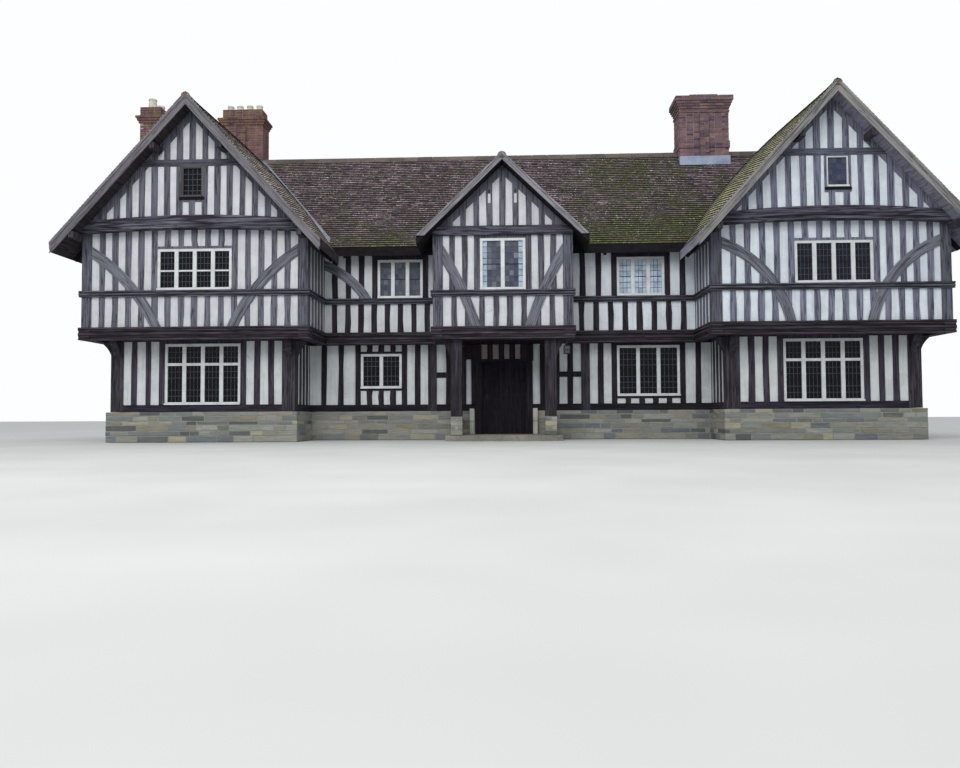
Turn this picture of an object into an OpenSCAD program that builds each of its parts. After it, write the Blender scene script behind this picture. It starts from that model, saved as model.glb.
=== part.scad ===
// Half timbered house: two jettied cross wings, a hall range between them and a storeyed porch.
// Millimetres, +Z up. The front looks along -Y, and the origin is under the middle of the box.

/* [Levels] */
// Height of the stone plinth
plinth_h = 800; // [500:10:1000]
// Height of the threshold and the porch paving above the ground
sill_h = 150; // [100:10:200]
// Height of the sill beam on the plinth
sill_beam_h = 180; // [140:10:240]
// Level of the underside of the bressumers
bressumer_z = 2640; // [2500:10:2800]
// Height of a bressumer
bressumer_h = 320; // [280:10:360]
// Thickness of the upper floors
floor_t = 200; // [150:10:240]
// Level of the underside of the upper mid rail
mid_rail_z = 3740; // [3600:10:3850]
// Height of the mid rail
mid_rail_h = 160; // [120:10:200]
// Level of the underside of the wings' tie beams
tie_z = 5450; // [5360:10:5540]
// Height of a wing tie beam at its middle
tie_h = 330; // [260:10:380]
// Camber of a wing tie beam's upper edge
tie_camber = 160; // [100:10:240]
// Level of the underside of the wings' collar rails
collar_z = 7040; // [6950:10:7150]
// Height of a collar rail
collar_h = 170; // [120:10:220]

/* [Wings] */
// Distance from the middle of the hall range to the middle of a wing
wing_x = 8000; // [7700:20:8400]
// Width of a wing's upper storey
wing_w = 5860; // [5600:20:6100]
// How far a wing's upper storey oversails at each side
wing_side_jetty = 490; // [400:10:560]
// How far a wing's upper storey oversails in front
wing_front_jetty = 600; // [500:10:700]
// How far a wing's upper storey runs on behind the hall range
wing_back = 1000; // [860:20:1400]
// How far a wing's gable oversails the storey below
gable_jetty = 200; // [120:10:260]

/* [Hall range] */
// How far the hall range's upper front stands behind the wings' upper fronts
hall_front = 1800; // [1700:10:2000]
// How far the hall range's upper storey oversails in front
hall_jetty = 350; // [250:10:420]
// Depth of the hall range's upper storey
hall_d = 5600; // [5400:20:5900]

/* [Porch] */
// Distance of the porch's middle from the middle of the hall range
porch_x = -130; // [-200:10:0]
// Width of the porch's upper storey
porch_w = 3620; // [3500:20:3800]
// Distance of the porch's upper front behind the wings' upper fronts
porch_front = 500; // [400:10:700]
// Distance between the middles of the porch posts
porch_post_span = 2440; // [2300:20:2600]
// Width and depth of a porch post
porch_post_w = 290; // [240:10:320]
// Level of the underside of the porch's tie beam
porch_tie_z = 5320; // [5250:10:5400]
// Height of the porch's tie beam
porch_tie_h = 240; // [200:10:280]

/* [Walls] */
// Thickness of an outer wall from timber face to plaster inside
wall_t = 160; // [140:5:200]
// Thickness of the studs and rails seen from outside
frame_t = 100; // [80:5:120]
// How far the plaster panels lie behind the timber face
panel_set_back = 18; // [10:1:30]
// Width of a stud
stud_w = 150; // [120:5:180]
// Unevenness of a hewn stud's edges
hew = 14; // [0:1:20]
// Width of a curved brace
brace_w = 230; // [160:5:260]
// Width of an upper corner post
upper_post_w = 260; // [200:10:300]
// Width of a ground storey corner post
ground_post_w = 340; // [280:10:380]
// Thickness of the stone plinth
plinth_t = 450; // [350:10:520]
// How far the plinth stands in front of the timber face
plinth_step = 90; // [50:5:120]
// How far the bressumers, rails and tie beams stand in front of the timber face
rail_step = 55; // [30:5:80]
// Easing between timbers and plaster
ease = 0.3; // [0.2:0.1:0.6]

/* [Roofs] */
// Thickness of a roof slope with its rafters and tiles
roof_t = 160; // [130:5:200]
// Level of the top of the wings' wall plates at their outer edge
wing_plate_top = 5300; // [5200:10:5400]
// Fall of a wing's roof for each unit across
wing_pitch = 1.1; // [1.0:0.01:1.2]
// How far a wing's eaves oversail its sides
wing_eave_out = 470; // [380:10:540]
// How far a wing's verge oversails its gable
verge_out = 460; // [380:10:600]
// Level of the top of the hall range's wall plates at their outer edge
hall_plate_top = 5460; // [5400:10:5520]
// Fall of the hall range's roof for each unit across
hall_pitch = 1.08; // [1.0:0.01:1.15]
// How far the hall range's eaves oversail its walls
hall_eave = 430; // [350:10:500]
// Level of the top of the porch's wall plates at their outer edge
porch_plate_top = 5400; // [5330:10:5450]
// Fall of the porch's roof for each unit across
porch_pitch = 0.97; // [0.9:0.01:1.05]
// How far the porch's eaves oversail its sides
porch_eave_out = 390; // [300:10:450]
// How far the porch's verge oversails its gable
porch_verge = 380; // [300:10:450]
// Width of a bargeboard measured straight up
barge_h = 310; // [250:10:360]
// Thickness of a bargeboard
barge_t = 45; // [35:5:60]
// Width of a ridge tile
ridge_tile_w = 300; // [240:10:340]
// Thickness of a ridge tile
ridge_tile_t = 22; // [16:1:30]

/* [Windows and door] */
// Width of a window's outer frame members
window_rim = 70; // [50:5:80]
// Width of an attic window's frame members
attic_rim = 35; // [30:5:60]
// Width of a mullion between two lights
mullion_w = 100; // [80:5:110]
// Depth of a window frame
window_t = 80; // [60:5:100]
// Distance of a window frame behind the timber face
window_set_back = 15; // [5:1:30]
// Thickness of a pane of glass
glass_t = 6; // [4:1:10]
// Width of the front door's leaf
door_w = 1240; // [1100:10:1300]
// Height of the front door's leaf
door_h = 2020; // [1950:10:2060]
// Thickness of the front door's leaf
door_t = 60; // [45:1:70]
// Width of the door frame's posts
door_post_w = 165; // [140:5:200]
// Running gap round the door leaf
door_gap = 9; // [8:1:12]
// Radius of a hinge pin
hinge_pin_r = 12; // [9:0.5:15]

/* [Chimneys] */
// Width of the right chimney's stack
right_stack_w = 1490; // [1380:10:1600]
// Depth of the right chimney's stack
right_stack_d = 800; // [720:10:880]
// Width of the centre chimney's stack
centre_stack_w = 1340; // [1280:10:1440]
// Depth of the centre chimney's stack
centre_stack_d = 640; // [600:10:720]
// Width of the flank chimney's stack
flank_stack_w = 670; // [600:10:720]
// Depth of the flank chimney's stack
flank_stack_d = 1500; // [1400:10:1600]
// Level of the right chimney's top
right_stack_z = 10330; // [10200:10:10600]
// Level of the centre chimney's top
centre_stack_z = 10370; // [10200:10:10600]
// Level of the flank chimney's top
flank_stack_z = 10480; // [10200:10:10700]
// Width of the raised rib on a chimney's long sides
stack_rib_w = 280; // [220:10:340]
// How far the rib stands out
stack_rib_step = 70; // [40:5:100]

/* [Hidden] */
$fn = 64;

// Upper and ground storey lines of the wings, counted from a wing's own middle
wing_half = wing_w / 2;
wing_ground_half = wing_half - wing_side_jetty;
wing_ground_front = wing_front_jetty;

// Hall range lines
hall_ground_front = hall_front + hall_jetty;
hall_rear = hall_front + hall_d;
wing_rear = hall_rear + wing_back;
hall_half = wing_x - wing_half;
hall_ground_half = wing_x - wing_ground_half;
hall_ridge_y = hall_front + hall_d / 2;
hall_eave_y = hall_front - hall_eave;

// Levels worked out from the driving ones
ground_sill_top = plinth_h + sill_beam_h;
floor_top = bressumer_z + bressumer_h;
floor_bottom = floor_top - floor_t;
mid_rail_top = mid_rail_z + mid_rail_h;
wing_slab_drop = roof_t * sqrt(1 + wing_pitch * wing_pitch);
hall_slab_drop = roof_t * sqrt(1 + hall_pitch * hall_pitch);
porch_slab_drop = roof_t * sqrt(1 + porch_pitch * porch_pitch);
porch_half = porch_w / 2;
wing_ridge_z = wing_plate_top + wing_slab_drop + wing_pitch * wing_half;
hall_ridge_z = hall_plate_top + hall_slab_drop + hall_pitch * hall_d / 2;
porch_ridge_z = porch_plate_top + porch_slab_drop + porch_pitch * porch_half;
wing_eave = wing_half + wing_eave_out;
porch_eave = porch_half + porch_eave_out;
gable_face = -gable_jetty;
wing_verge_y = gable_face - verge_out;
wing_rear_verge_y = wing_rear + verge_out * 0.7;
porch_verge_y = porch_front - porch_verge;

// Places of the chimneys
right_stack = [right_stack_w, right_stack_d];
centre_stack = [centre_stack_w, centre_stack_d];
flank_stack = [flank_stack_w, flank_stack_d];
stack_inset = 905;
right_stack_x = wing_x - wing_half + stack_inset;
right_stack_y = hall_ridge_y;
centre_stack_shift = 345;
centre_stack_back = 250;
centre_stack_x = -wing_x - centre_stack_shift;
centre_stack_y = hall_ridge_y + centre_stack_back;
stack_cap_step = 110;
stack_band_step = 25;
flank_stack_x = -wing_x - wing_half - ease - flank_stack[0] / 2;
flank_stack_back = 650;
flank_stack_y = hall_ridge_y + flank_stack_back;

// Middle of the whole house
house_left = flank_stack_x - flank_stack[0] / 2 - stack_cap_step;
house_right = wing_x + wing_eave;
mid_x = (house_left + house_right) / 2;
mid_y = (wing_verge_y - barge_t + wing_rear_verge_y + barge_t) / 2;

TIMBER = "#5d5862";
DARK_TIMBER = "#352f31";
PLASTER = "#dfe2e3";
STONE = "#9b9a88";
BRICK = "#7d4a44";
TILE = "#5a4a47";
PAINT = "#cfd0cb";
GLASS = "#2c3440";
LEAD = "#8fa6b4";
CLAY = "#b5916f";

// Window: middle along the wall, width, sill level, head level, lights, transom level or 0
function window(u, w, z0, z1, lights, transom = 0) = [u, w, z0, z1, lights, transom];
// Wall: side, face, start, end, bays before the window, over it and after it, window or 0
// and the level that a wall over a doorway starts from, or 0
function wall(side, face, u0, u1, bays, win = 0, base = 0) = [side, face, u0, u1, bays, win, base];

ground_window_top = bressumer_z - 60;
wing_transom = ground_window_top - 540;
upper_window_h = 1070;
upper_window_top = mid_rail_top + upper_window_h;
wing_window_w = 1930;
right_window_shift = 85;
right_attic_shift = 140;
wing_ground_window_w = 2010;
hall_sill_z = plinth_h + 380;
small_window_sill = plinth_h + 630;
small_window_top = ground_window_top - 180;
small_window_w = 1150;
wide_window_w = 1720;
three_light_w = 1290;
hall_left_window_w = 1250;
porch_window_w = 1180;
porch_window_gap = 70;

// Ground storey windows
function wing_ground_window(x) = window(x, wing_ground_window_w, ground_sill_top, ground_window_top, 4,
    wing_transom);
hall_left_ground_window = window(-3550, small_window_w, small_window_sill, small_window_top, 2);
hall_right_ground_window = window(3850, wide_window_w, hall_sill_z, ground_window_top, 3);
hall_rear_ground_window = window(0, wide_window_w, hall_sill_z, ground_window_top, 3);
function flank_ground_window(y) = window(y, three_light_w, hall_sill_z, ground_window_top, 3);

// Upper storey windows
function wing_upper_window(x) = window(x > 0 ? x + right_window_shift : x, wing_window_w, mid_rail_top,
    upper_window_top, 4);
hall_left_upper_window = window(-2970, hall_left_window_w, mid_rail_top, upper_window_top, 3);
hall_right_upper_window = window(3610, three_light_w, mid_rail_top, upper_window_top, 3);
porch_upper_window = window(porch_x, porch_window_w, mid_rail_top, porch_tie_z - porch_window_gap, 2);
hall_rear_upper_window = window(0, three_light_w, mid_rail_top, upper_window_top, 3);
function flank_upper_window(y) = window(y, three_light_w, mid_rail_top, upper_window_top, 3);

left_in = -wing_x + wing_ground_half;
left_out = -wing_x - wing_ground_half;
right_in = wing_x - wing_ground_half;
right_out = wing_x + wing_ground_half;
gp = ground_post_w;
up = upper_post_w;
door_side = door_w / 2 + door_gap + door_post_w;
door_top = sill_h + 2 * door_gap + door_h + door_post_w;
hall_side_post = 2000;
hall_side_post_w = 240;
hall_post_step = 20;
flank_window_y = 2900;
rear_flank_y = wing_rear - up;

left_wing_ground_walls = [
    wall("front", wing_ground_front, left_out + gp, left_in - gp, [3, 6, 3], wing_ground_window(-wing_x)),
    wall("rear", wing_rear, left_out + gp, left_in - gp, [3, 6, 3], wing_ground_window(-wing_x)),
    wall("left", left_out, wing_ground_front + gp, wing_rear - gp, [5, 4, 9],
        flank_ground_window(flank_window_y)),
    wall("right", left_in, wing_ground_front + gp, hall_ground_front, [0, 4, 0]),
    wall("right", left_in, hall_rear, wing_rear - gp, [0, 2, 0])
];
right_wing_ground_walls = [
    wall("front", wing_ground_front, right_in + gp, right_out - gp, [3, 6, 3], wing_ground_window(wing_x)),
    wall("rear", wing_rear, right_in + gp, right_out - gp, [3, 6, 3], wing_ground_window(wing_x)),
    wall("right", right_out, wing_ground_front + gp, wing_rear - gp, [5, 4, 9],
        flank_ground_window(flank_window_y)),
    wall("left", right_in, wing_ground_front + gp, hall_ground_front, [0, 4, 0]),
    wall("left", right_in, hall_rear, wing_rear - gp, [0, 2, 0])
];
hall_ground_walls = [
    wall("front", hall_ground_front, left_in, -hall_side_post - hall_side_post_w, [3, 4, 2],
        hall_left_ground_window),
    wall("front", hall_ground_front, -hall_side_post, porch_x - door_side, [0, 3, 0]),
    wall("front", hall_ground_front, porch_x + door_side, hall_side_post, [0, 4, 0]),
    wall("front", hall_ground_front, porch_x - door_side, porch_x + door_side, [0, 5, 0], 0, door_top),
    wall("front", hall_ground_front, hall_side_post + hall_side_post_w, right_in, [2, 5, 2],
        hall_right_ground_window),
    wall("rear", hall_rear, left_in, right_in, [12, 5, 12], hall_rear_ground_window)
];
left_wing_upper_walls = [
    wall("front", 0, -wing_x - wing_half + up, -wing_x + wing_half - up, [5, 6, 5],
        wing_upper_window(-wing_x)),
    wall("rear", wing_rear, -wing_x - wing_half + up, -wing_x + wing_half - up, [5, 6, 5],
        wing_upper_window(-wing_x)),
    wall("left", -wing_x - wing_half, up, rear_flank_y, [7, 4, 9], flank_upper_window(flank_window_y)),
    wall("right", -wing_x + wing_half, up, hall_front, [0, 5, 0]),
    wall("right", -wing_x + wing_half, hall_rear, rear_flank_y, [0, 2, 0])
];
right_wing_upper_walls = [
    wall("front", 0, wing_x - wing_half + up, wing_x + wing_half - up, [5, 6, 5],
        wing_upper_window(wing_x)),
    wall("rear", wing_rear, wing_x - wing_half + up, wing_x + wing_half - up, [5, 6, 5],
        wing_upper_window(wing_x)),
    wall("right", wing_x + wing_half, up, rear_flank_y, [7, 4, 9], flank_upper_window(flank_window_y)),
    wall("left", wing_x - wing_half, up, hall_front, [0, 5, 0]),
    wall("left", wing_x - wing_half, hall_rear, rear_flank_y, [0, 2, 0])
];
hall_upper_walls = [
    wall("front", hall_front, -hall_half, porch_x - porch_half, [4, 4, 1], hall_left_upper_window),
    wall("front", hall_front, porch_x + porch_half, hall_half, [3, 4, 2], hall_right_upper_window),
    wall("rear", hall_rear, -hall_half, hall_half, [11, 4, 11], hall_rear_upper_window)
];
porch_upper_walls = [
    wall("front", porch_front, porch_x - porch_half + up, porch_x + porch_half - up, [3, 3, 3],
        porch_upper_window),
    wall("left", porch_x - porch_half, porch_front + up, hall_front, [0, 3, 0]),
    wall("right", porch_x + porch_half, porch_front + up, hall_front, [0, 3, 0])
];

function ground_walls() = concat(left_wing_ground_walls, hall_ground_walls, right_wing_ground_walls);
function upper_walls() = concat(
    left_wing_upper_walls, hall_upper_walls, right_wing_upper_walls, porch_upper_walls);

// Level of the top of an upper wall: under the tie beam, or under the eaves' plate
plate_h = 140;
function across(side) = side == "front" || side == "rear";
function ground_top(w) = w[0] == "rear" ? bressumer_z : floor_bottom;
function is_hall(w) = across(w[0]) && (w[1] == hall_front || w[1] == hall_rear);
function is_porch(w) = w[1] == porch_front || abs(w[1] - porch_x) == porch_half;
function upper_top(w) = is_hall(w) ? hall_plate_top - plate_h
    : is_porch(w) ? (across(w[0]) ? porch_tie_z : porch_plate_top - plate_h)
    : across(w[0]) ? tie_z : wing_plate_top - plate_h;

// Height of the top rail of an upper wall, under its plate
hall_top_rail_h = 190;
side_top_rail_h = 120;
function top_rail_h(w) = is_hall(w) ? hall_top_rail_h : across(w[0]) ? 0 : side_top_rail_h;

module centred() translate([-mid_x, -mid_y, 0]) children();

// Flat solid between two depths behind a wall's outer face
module skin(side, face, from, to) {
    t = to - from;
    if (side == "front") translate([0, face + to, 0]) rotate([90, 0, 0]) linear_extrude(t) children();
    if (side == "rear") translate([0, face - from, 0]) rotate([90, 0, 0]) linear_extrude(t) children();
    if (side == "left") translate([face + from, 0, 0]) rotate([90, 0, 90]) linear_extrude(t) children();
    if (side == "right") translate([face - to, 0, 0]) rotate([90, 0, 90]) linear_extrude(t) children();
}

module box2(u0, u1, z0, z1) translate([u0, z0]) square([u1 - u0, z1 - z0]);

module box(x0, x1, y0, y1, z0, z1) translate([x0, y0, z0]) cube([x1 - x0, y1 - y0, z1 - z0]);

// Unevenness of a hewn edge, from -1 to 1, the same for a timber and for its channel
function hewn(u, k) = let (v = sin(u * 7.31 + k * 61.7) * 91.7) 2 * (v - floor(v)) - 1;

// Hewn stud whose edges are slightly crooked, widest or narrowest near its middle
module stud(u, z0, z1, grow = 0) {
    zm = (z0 + z1) / 2 + hewn(u, 7) * (z1 - z0) / 6;
    polygon([
        [u - grow + hew * hewn(u, 1 + z0), z0], [u + stud_w + grow + hew * hewn(u, 2 + z0), z0],
        [u + stud_w + grow + hew * hewn(u, 3 + z0), zm], [u + stud_w + grow + hew * hewn(u, 4 + z0), z1],
        [u - grow + hew * hewn(u, 5 + z0), z1], [u - grow + hew * hewn(u, 6 + z0), zm]
    ]);
}

// Studs that leave n panels between two timbers
module studs(u0, u1, z0, z1, n, grow = 0) {
    panel = (u1 - u0 - (n - 1) * stud_w) / n;
    if (n > 1) for (i = [1:n - 1]) stud(u0 + i * panel + (i - 1) * stud_w, z0, z1, grow);
}

// Studs round a window: the jambs, and short studs over and under it
window_head = 60;
module window_bay(u0, u1, z0, z1, bays, win, grow = 0) {
    a = win[0] - win[1] / 2;
    b = win[0] + win[1] / 2;
    studs(u0, a - stud_w, z0, z1, bays[0], grow);
    studs(b + stud_w, u1, z0, z1, bays[2], grow);
    box2(a - stud_w - grow, a, z0, z1);
    box2(b, b + stud_w + grow, z0, z1);
    if (z1 - win[3] > 3 * window_head) {
        box2(a, b, win[3], win[3] + window_head + grow);
        studs(a, b, win[3] + window_head, z1, bays[1], grow);
    } else box2(a, b, win[3], z1);
    if (win[2] - z0 > window_head) {
        box2(a, b, win[2] - window_head - grow, win[2]);
        studs(a, b, z0, win[2] - window_head, bays[1], grow);
    }
}

module wall_bay(w, z0, z1, grow = 0) {
    if (w[5] == 0) studs(w[2], w[3], z0, z1, w[4][1], grow);
    else window_bay(w[2], w[3], z0, z1, w[4], w[5], grow);
}

module window_hole(w) if (w[5] != 0) {
    win = w[5];
    box2(win[0] - win[1] / 2, win[0] + win[1] / 2, win[2], win[3]);
}

// Ground storey timbers of one wall, as an outline
ground_plate_h = 120;
porch_rail_z = plinth_h + 920;
porch_rail_h = 150;
module ground_pattern(w, grow = 0) difference() {
    union() {
        if (w[6] == 0) box2(w[2], w[3], plinth_h, ground_sill_top + grow);
        box2(w[2], w[3], ground_top(w) - ground_plate_h - grow, ground_top(w));
        if (w[1] == hall_ground_front && w[5] == 0 && w[6] == 0) {
            edge = porch_x + sign(w[2]) * porch_post_span / 2;
            box2(w[2] < porch_x ? w[2] : edge, w[2] < porch_x ? edge : w[3],
                porch_rail_z - grow, porch_rail_z + porch_rail_h + grow);
        }
        wall_bay(w, w[6] == 0 ? ground_sill_top : w[6], ground_top(w) - ground_plate_h, grow);
    }
    window_hole(w);
}

// Circle through three points, as its middle and radius
function ring_of(a, b, c) = let (
    d = 2 * (a[0] * (b[1] - c[1]) + b[0] * (c[1] - a[1]) + c[0] * (a[1] - b[1])),
    x = ((a * a) * (b[1] - c[1]) + (b * b) * (c[1] - a[1]) + (c * c) * (a[1] - b[1])) / d,
    y = ((a * a) * (c[0] - b[0]) + (b * b) * (a[0] - c[0]) + (c * c) * (b[0] - a[0])) / d
) [x, y, norm([a[0] - x, a[1] - y])];

// Curved brace through three points, from a post down to the storey's foot
module brace(a, b, c, width, grow = 0) {
    ring = ring_of(a, b, c);
    reach = width;
    intersection() {
        translate([ring[0], ring[1]]) difference() {
            circle(ring[2] + width / 2 + grow, $fn = 180);
            circle(ring[2] - width / 2 - grow, $fn = 180);
        }
        box2(min(a[0], c[0] - reach), max(a[0], c[0] + reach), floor_top, max(a[1], b[1]) + reach);
    }
}

// Braces of one upper front, mirrored about its middle
module brace_pair(u, half, top, middle, foot, grow = 0) {
    for (s = [-1, 1])
        brace([u + s * half, top], [u + s * middle[0], middle[1]], [u + s * foot, floor_top],
            brace_w, grow);
}

wing_brace_foot = 1000;
wing_brace_top = mid_rail_top + 1040;
wing_brace_mid = [1620, mid_rail_top + 300];
far_brace_foot = 990;
far_brace_top = mid_rail_top + 1000;
far_brace_mid = [1720, mid_rail_top + 180];
porch_brace_foot = 700;
porch_brace_top = mid_rail_top + 950;
porch_brace_mid = [1080, mid_rail_top + 60];
hall_brace_top = mid_rail_top + 930;
hall_brace_mid = [650, mid_rail_top + 570];
hall_brace_foot = 1250;
function has_braces(w) = (w[0] == "front" && (w[1] == 0 || w[1] == porch_front))
    || (w[0] == "rear" && w[1] == wing_rear)
    || (w[0] == "front" && w[1] == hall_front && w[2] < porch_x - porch_half);
module upper_braces(w, grow = 0) {
    if (w[0] == "front" && w[1] == 0 && w[2] > 0)
        brace_pair(wing_x, wing_half - up, wing_brace_top, wing_brace_mid, wing_brace_foot, grow);
    if (w[0] == "front" && w[1] == 0 && w[2] < 0)
        brace_pair(-wing_x, wing_half - up, far_brace_top, far_brace_mid, far_brace_foot, grow);
    if (w[0] == "rear" && w[1] == wing_rear)
        brace_pair(sign(w[2]) * wing_x, wing_half - up, far_brace_top, far_brace_mid, far_brace_foot, grow);
    if (w[0] == "front" && w[1] == porch_front)
        brace_pair(porch_x, porch_half - up, porch_brace_top, porch_brace_mid, porch_brace_foot, grow);
    if (w[0] == "front" && w[1] == hall_front && w[2] < porch_x - porch_half)
        intersection() {
            brace([w[2], hall_brace_top], [w[2] + hall_brace_mid[0], hall_brace_mid[1]],
                [w[2] + hall_brace_foot, mid_rail_z], brace_w, grow);
            box2(w[2], w[3], mid_rail_top, floor_top * 2);
        }
}

// Upper storey timbers of one wall, as an outline
module upper_pattern(w, grow = 0) difference() {
    union() {
        studs(w[2], w[3], floor_top, mid_rail_z, w[4][0] + w[4][1] + w[4][2], grow);
        box2(w[2], w[3], mid_rail_z - grow, mid_rail_top + grow);
        wall_bay(w, mid_rail_top, upper_top(w) - top_rail_h(w), grow);
        if (top_rail_h(w) > 0) box2(w[2], w[3], upper_top(w) - top_rail_h(w) - grow, upper_top(w));
        if (has_braces(w)) intersection() {
            upper_braces(w, grow);
            box2(w[2], w[3], floor_top, upper_top(w));
        }
    }
    window_hole(w);
}

module ground_frames(walls) color(DARK_TIMBER)
    for (w = walls) skin(w[0], w[1], 0, frame_t) ground_pattern(w);

module upper_frames(walls) color(TIMBER)
    for (w = walls) skin(w[0], w[1], 0, frame_t) upper_pattern(w);

// Plaster of one wall: a sheet behind the timbers with panels that stand up between them
module plaster(w, z0, z1) difference() {
    skin(w[0], w[1], panel_set_back, wall_t) difference() {
        box2(w[2] + ease, w[3] - ease, z0, z1);
        window_hole(w);
    }
    skin(w[0], w[1], -1, frame_t + ease) children();
}

module ground_infill() centred() color(PLASTER) difference() {
    for (w = ground_walls())
        plaster(w, max(plinth_h, w[6]) + ease, ground_top(w) - ease) ground_pattern(w, ease);
    flank_stack_hole();
}

module upper_infill() centred() color(PLASTER)
    for (w = upper_walls()) plaster(w, floor_top + ease, upper_top(w) - ease) upper_pattern(w, ease);

module left_wing_ground_frame() centred() ground_frames(left_wing_ground_walls);
module right_wing_ground_frame() centred() ground_frames(right_wing_ground_walls);
module hall_ground_frame() centred() ground_frames(hall_ground_walls);
module left_wing_upper_frame() centred() upper_frames(left_wing_upper_walls);
module right_wing_upper_frame() centred() upper_frames(right_wing_upper_walls);
module hall_upper_frame() centred() upper_frames(hall_upper_walls);
module porch_upper_frame() centred() upper_frames(porch_upper_walls);

// Stone plinth of a wing: three sides and the two short returns to the hall range
module wing_plinth(s) {
    x = s * wing_x;
    half = wing_ground_half + plinth_step;
    front = wing_ground_front - plinth_step;
    rear = wing_rear + plinth_step;
    color(STONE) difference() {
        box(x - half, x + half, front, rear, 0, plinth_h);
        box(x - half + plinth_t, x + half - plinth_t, front + plinth_t, rear - plinth_t, -1, plinth_h + 1);
        box(x + (s < 0 ? half - plinth_t - 1 : -half - 1), x + (s < 0 ? half + 1 : -half + plinth_t + 1),
            hall_ground_front - plinth_step, hall_rear + plinth_step, -1, plinth_h + 1);
    }
}

module left_wing_plinth() centred() wing_plinth(-1);
module right_wing_plinth() centred() wing_plinth(1);

// Plinth of the hall range, open at the door
plinth_hall_half = hall_ground_half + plinth_t - plinth_step;
module hall_plinth() centred() color(STONE) {
    front = hall_ground_front - plinth_step;
    for (r = [[-plinth_hall_half, porch_x - door_side], [porch_x + door_side, plinth_hall_half]])
        box(r[0], r[1], front, front + plinth_t, 0, plinth_h);
    box(-plinth_hall_half, plinth_hall_half, hall_rear + plinth_step - plinth_t, hall_rear + plinth_step,
        0, plinth_h);
}

// Ground floor inside the plinths
module ground_floor() centred() color(STONE) difference() {
    union() {
        for (s = [-1, 1]) box(
            s * wing_x - wing_ground_half - plinth_step + plinth_t,
            s * wing_x + wing_ground_half + plinth_step - plinth_t,
            wing_ground_front - plinth_step + plinth_t, wing_rear + plinth_step - plinth_t, 0, sill_h);
        box(-wing_x, wing_x, hall_ground_front - plinth_step + plinth_t,
            hall_rear + plinth_step - plinth_t, 0, sill_h);
        box(porch_x - door_side, porch_x + door_side, hall_ground_front - plinth_step,
            hall_ground_front - plinth_step + plinth_t + 1, 0, sill_h);
    }
    stack_hole(right_stack_x, right_stack_y, right_stack);
    stack_hole(centre_stack_x, centre_stack_y, centre_stack);
}

// Hole round a stack with a rib on its long sides
module stack_hole(x, y, size) {
    w = size[0] / 2 + ease;
    d = size[1] / 2 + ease;
    r = stack_rib_w / 2 + ease;
    box(x - w, x + w, y - d, y + d, -1, right_stack_z);
    box(x - r, x + r, y - d - stack_rib_step, y + d + stack_rib_step, -1, right_stack_z);
}

flank_base_d = flank_stack_d + 600;
flank_base_h = bressumer_z - 2;
module flank_stack_hole() {
    box(flank_stack_x - flank_stack[0], flank_stack_x + flank_stack[0] / 2 + ease,
        flank_stack_y - flank_stack[1] / 2 - ease, flank_stack_y + flank_stack[1] / 2 + ease,
        flank_base_h, right_stack_z);
}

// Paving of the porch and the low stone walls that carry its posts
paving_front = porch_front + 60;
module porch_paving() centred() color(STONE)
    box(porch_x - porch_post_span / 2 - porch_post_w, porch_x + porch_post_span / 2 + porch_post_w,
        paving_front, hall_ground_front - plinth_step, 0, sill_h);

porch_base_h = 640;
porch_plate_drop = 100;
porch_wall_h = 620;
porch_wall_t = 200;
porch_post_y = porch_front + 120;
module porch_bases() centred() color(STONE) for (s = [-1, 1]) {
    x = porch_x + s * porch_post_span / 2;
    box(x - porch_post_w / 2 - 15, x + porch_post_w / 2 + 15, porch_post_y - 15,
        porch_post_y + porch_post_w + 15, sill_h, porch_base_h);
    box(x - porch_wall_t / 2, x + porch_wall_t / 2, porch_post_y + porch_post_w,
        hall_ground_front - plinth_step, sill_h, porch_wall_h);
}

// Corner post of the ground storey, with curved brackets under the oversailing floor
module corner_post(x, y, sx, sy, z1) {
    x0 = min(x, x + sx * ground_post_w);
    y0 = min(y, y + sy * ground_post_w);
    box(x0, x0 + ground_post_w, y0, y0 + ground_post_w, plinth_h, z1);
    translate([x, y + sy * (ground_post_w - jowl_t) / 2, bressumer_z - jowl_h - ease])
        mirror([sx > 0 ? 1 : 0, 0, 0]) mirror([0, sy < 0 ? 1 : 0, 0]) translate([0, jowl_t, 0])
            rotate([90, 0, 0]) linear_extrude(jowl_t) bracket2(jowl_out, jowl_h);
    if (sy > 0) translate([x0 + (ground_post_w - jowl_t) / 2, y, bressumer_z - jowl_h - ease])
        rotate([90, 0, 90]) linear_extrude(jowl_t) mirror([1, 0]) bracket2(jowl_out, jowl_h);
}

// Curved bracket, hollow outwards, as wide as its reach at the top
bracket_nose = 60;
module bracket2(reach, h) {
    r = (reach * reach + (h - bracket_nose) * (h - bracket_nose)) / (2 * reach);
    difference() {
        square([reach, h]);
        translate([r, 0]) circle(r, $fn = 180);
    }
}

jowl_out = 240;
jowl_h = 560;
jowl_t = 200;

module ground_posts() centred() color(DARK_TIMBER) {
    for (s = [-1, 1]) {
        for (e = [-1, 1]) {
            x = s * wing_x + e * wing_ground_half;
            corner_post(x, wing_ground_front, -e, 1, floor_bottom);
            corner_post(x, wing_rear, -e, -1, bressumer_z);
        }
        for (y = [hall_ground_front, hall_rear - wall_t])
            box(min(s * hall_ground_half, s * (hall_ground_half + wall_t)),
                max(s * hall_ground_half, s * (hall_ground_half + wall_t)), y, y + wall_t, plinth_h,
                y > hall_ground_front ? bressumer_z : floor_bottom);
    }
    for (x = [-hall_side_post - hall_side_post_w, hall_side_post])
        box(x, x + hall_side_post_w, hall_ground_front - hall_post_step, hall_ground_front + wall_t, plinth_h,
            floor_bottom);
}

module upper_post(x, y, sx, sy, z1) {
    x0 = min(x, x + sx * upper_post_w);
    y0 = min(y, y + sy * upper_post_w);
    box(x0, x0 + upper_post_w, y0, y0 + upper_post_w, floor_top, z1);
}

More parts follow.
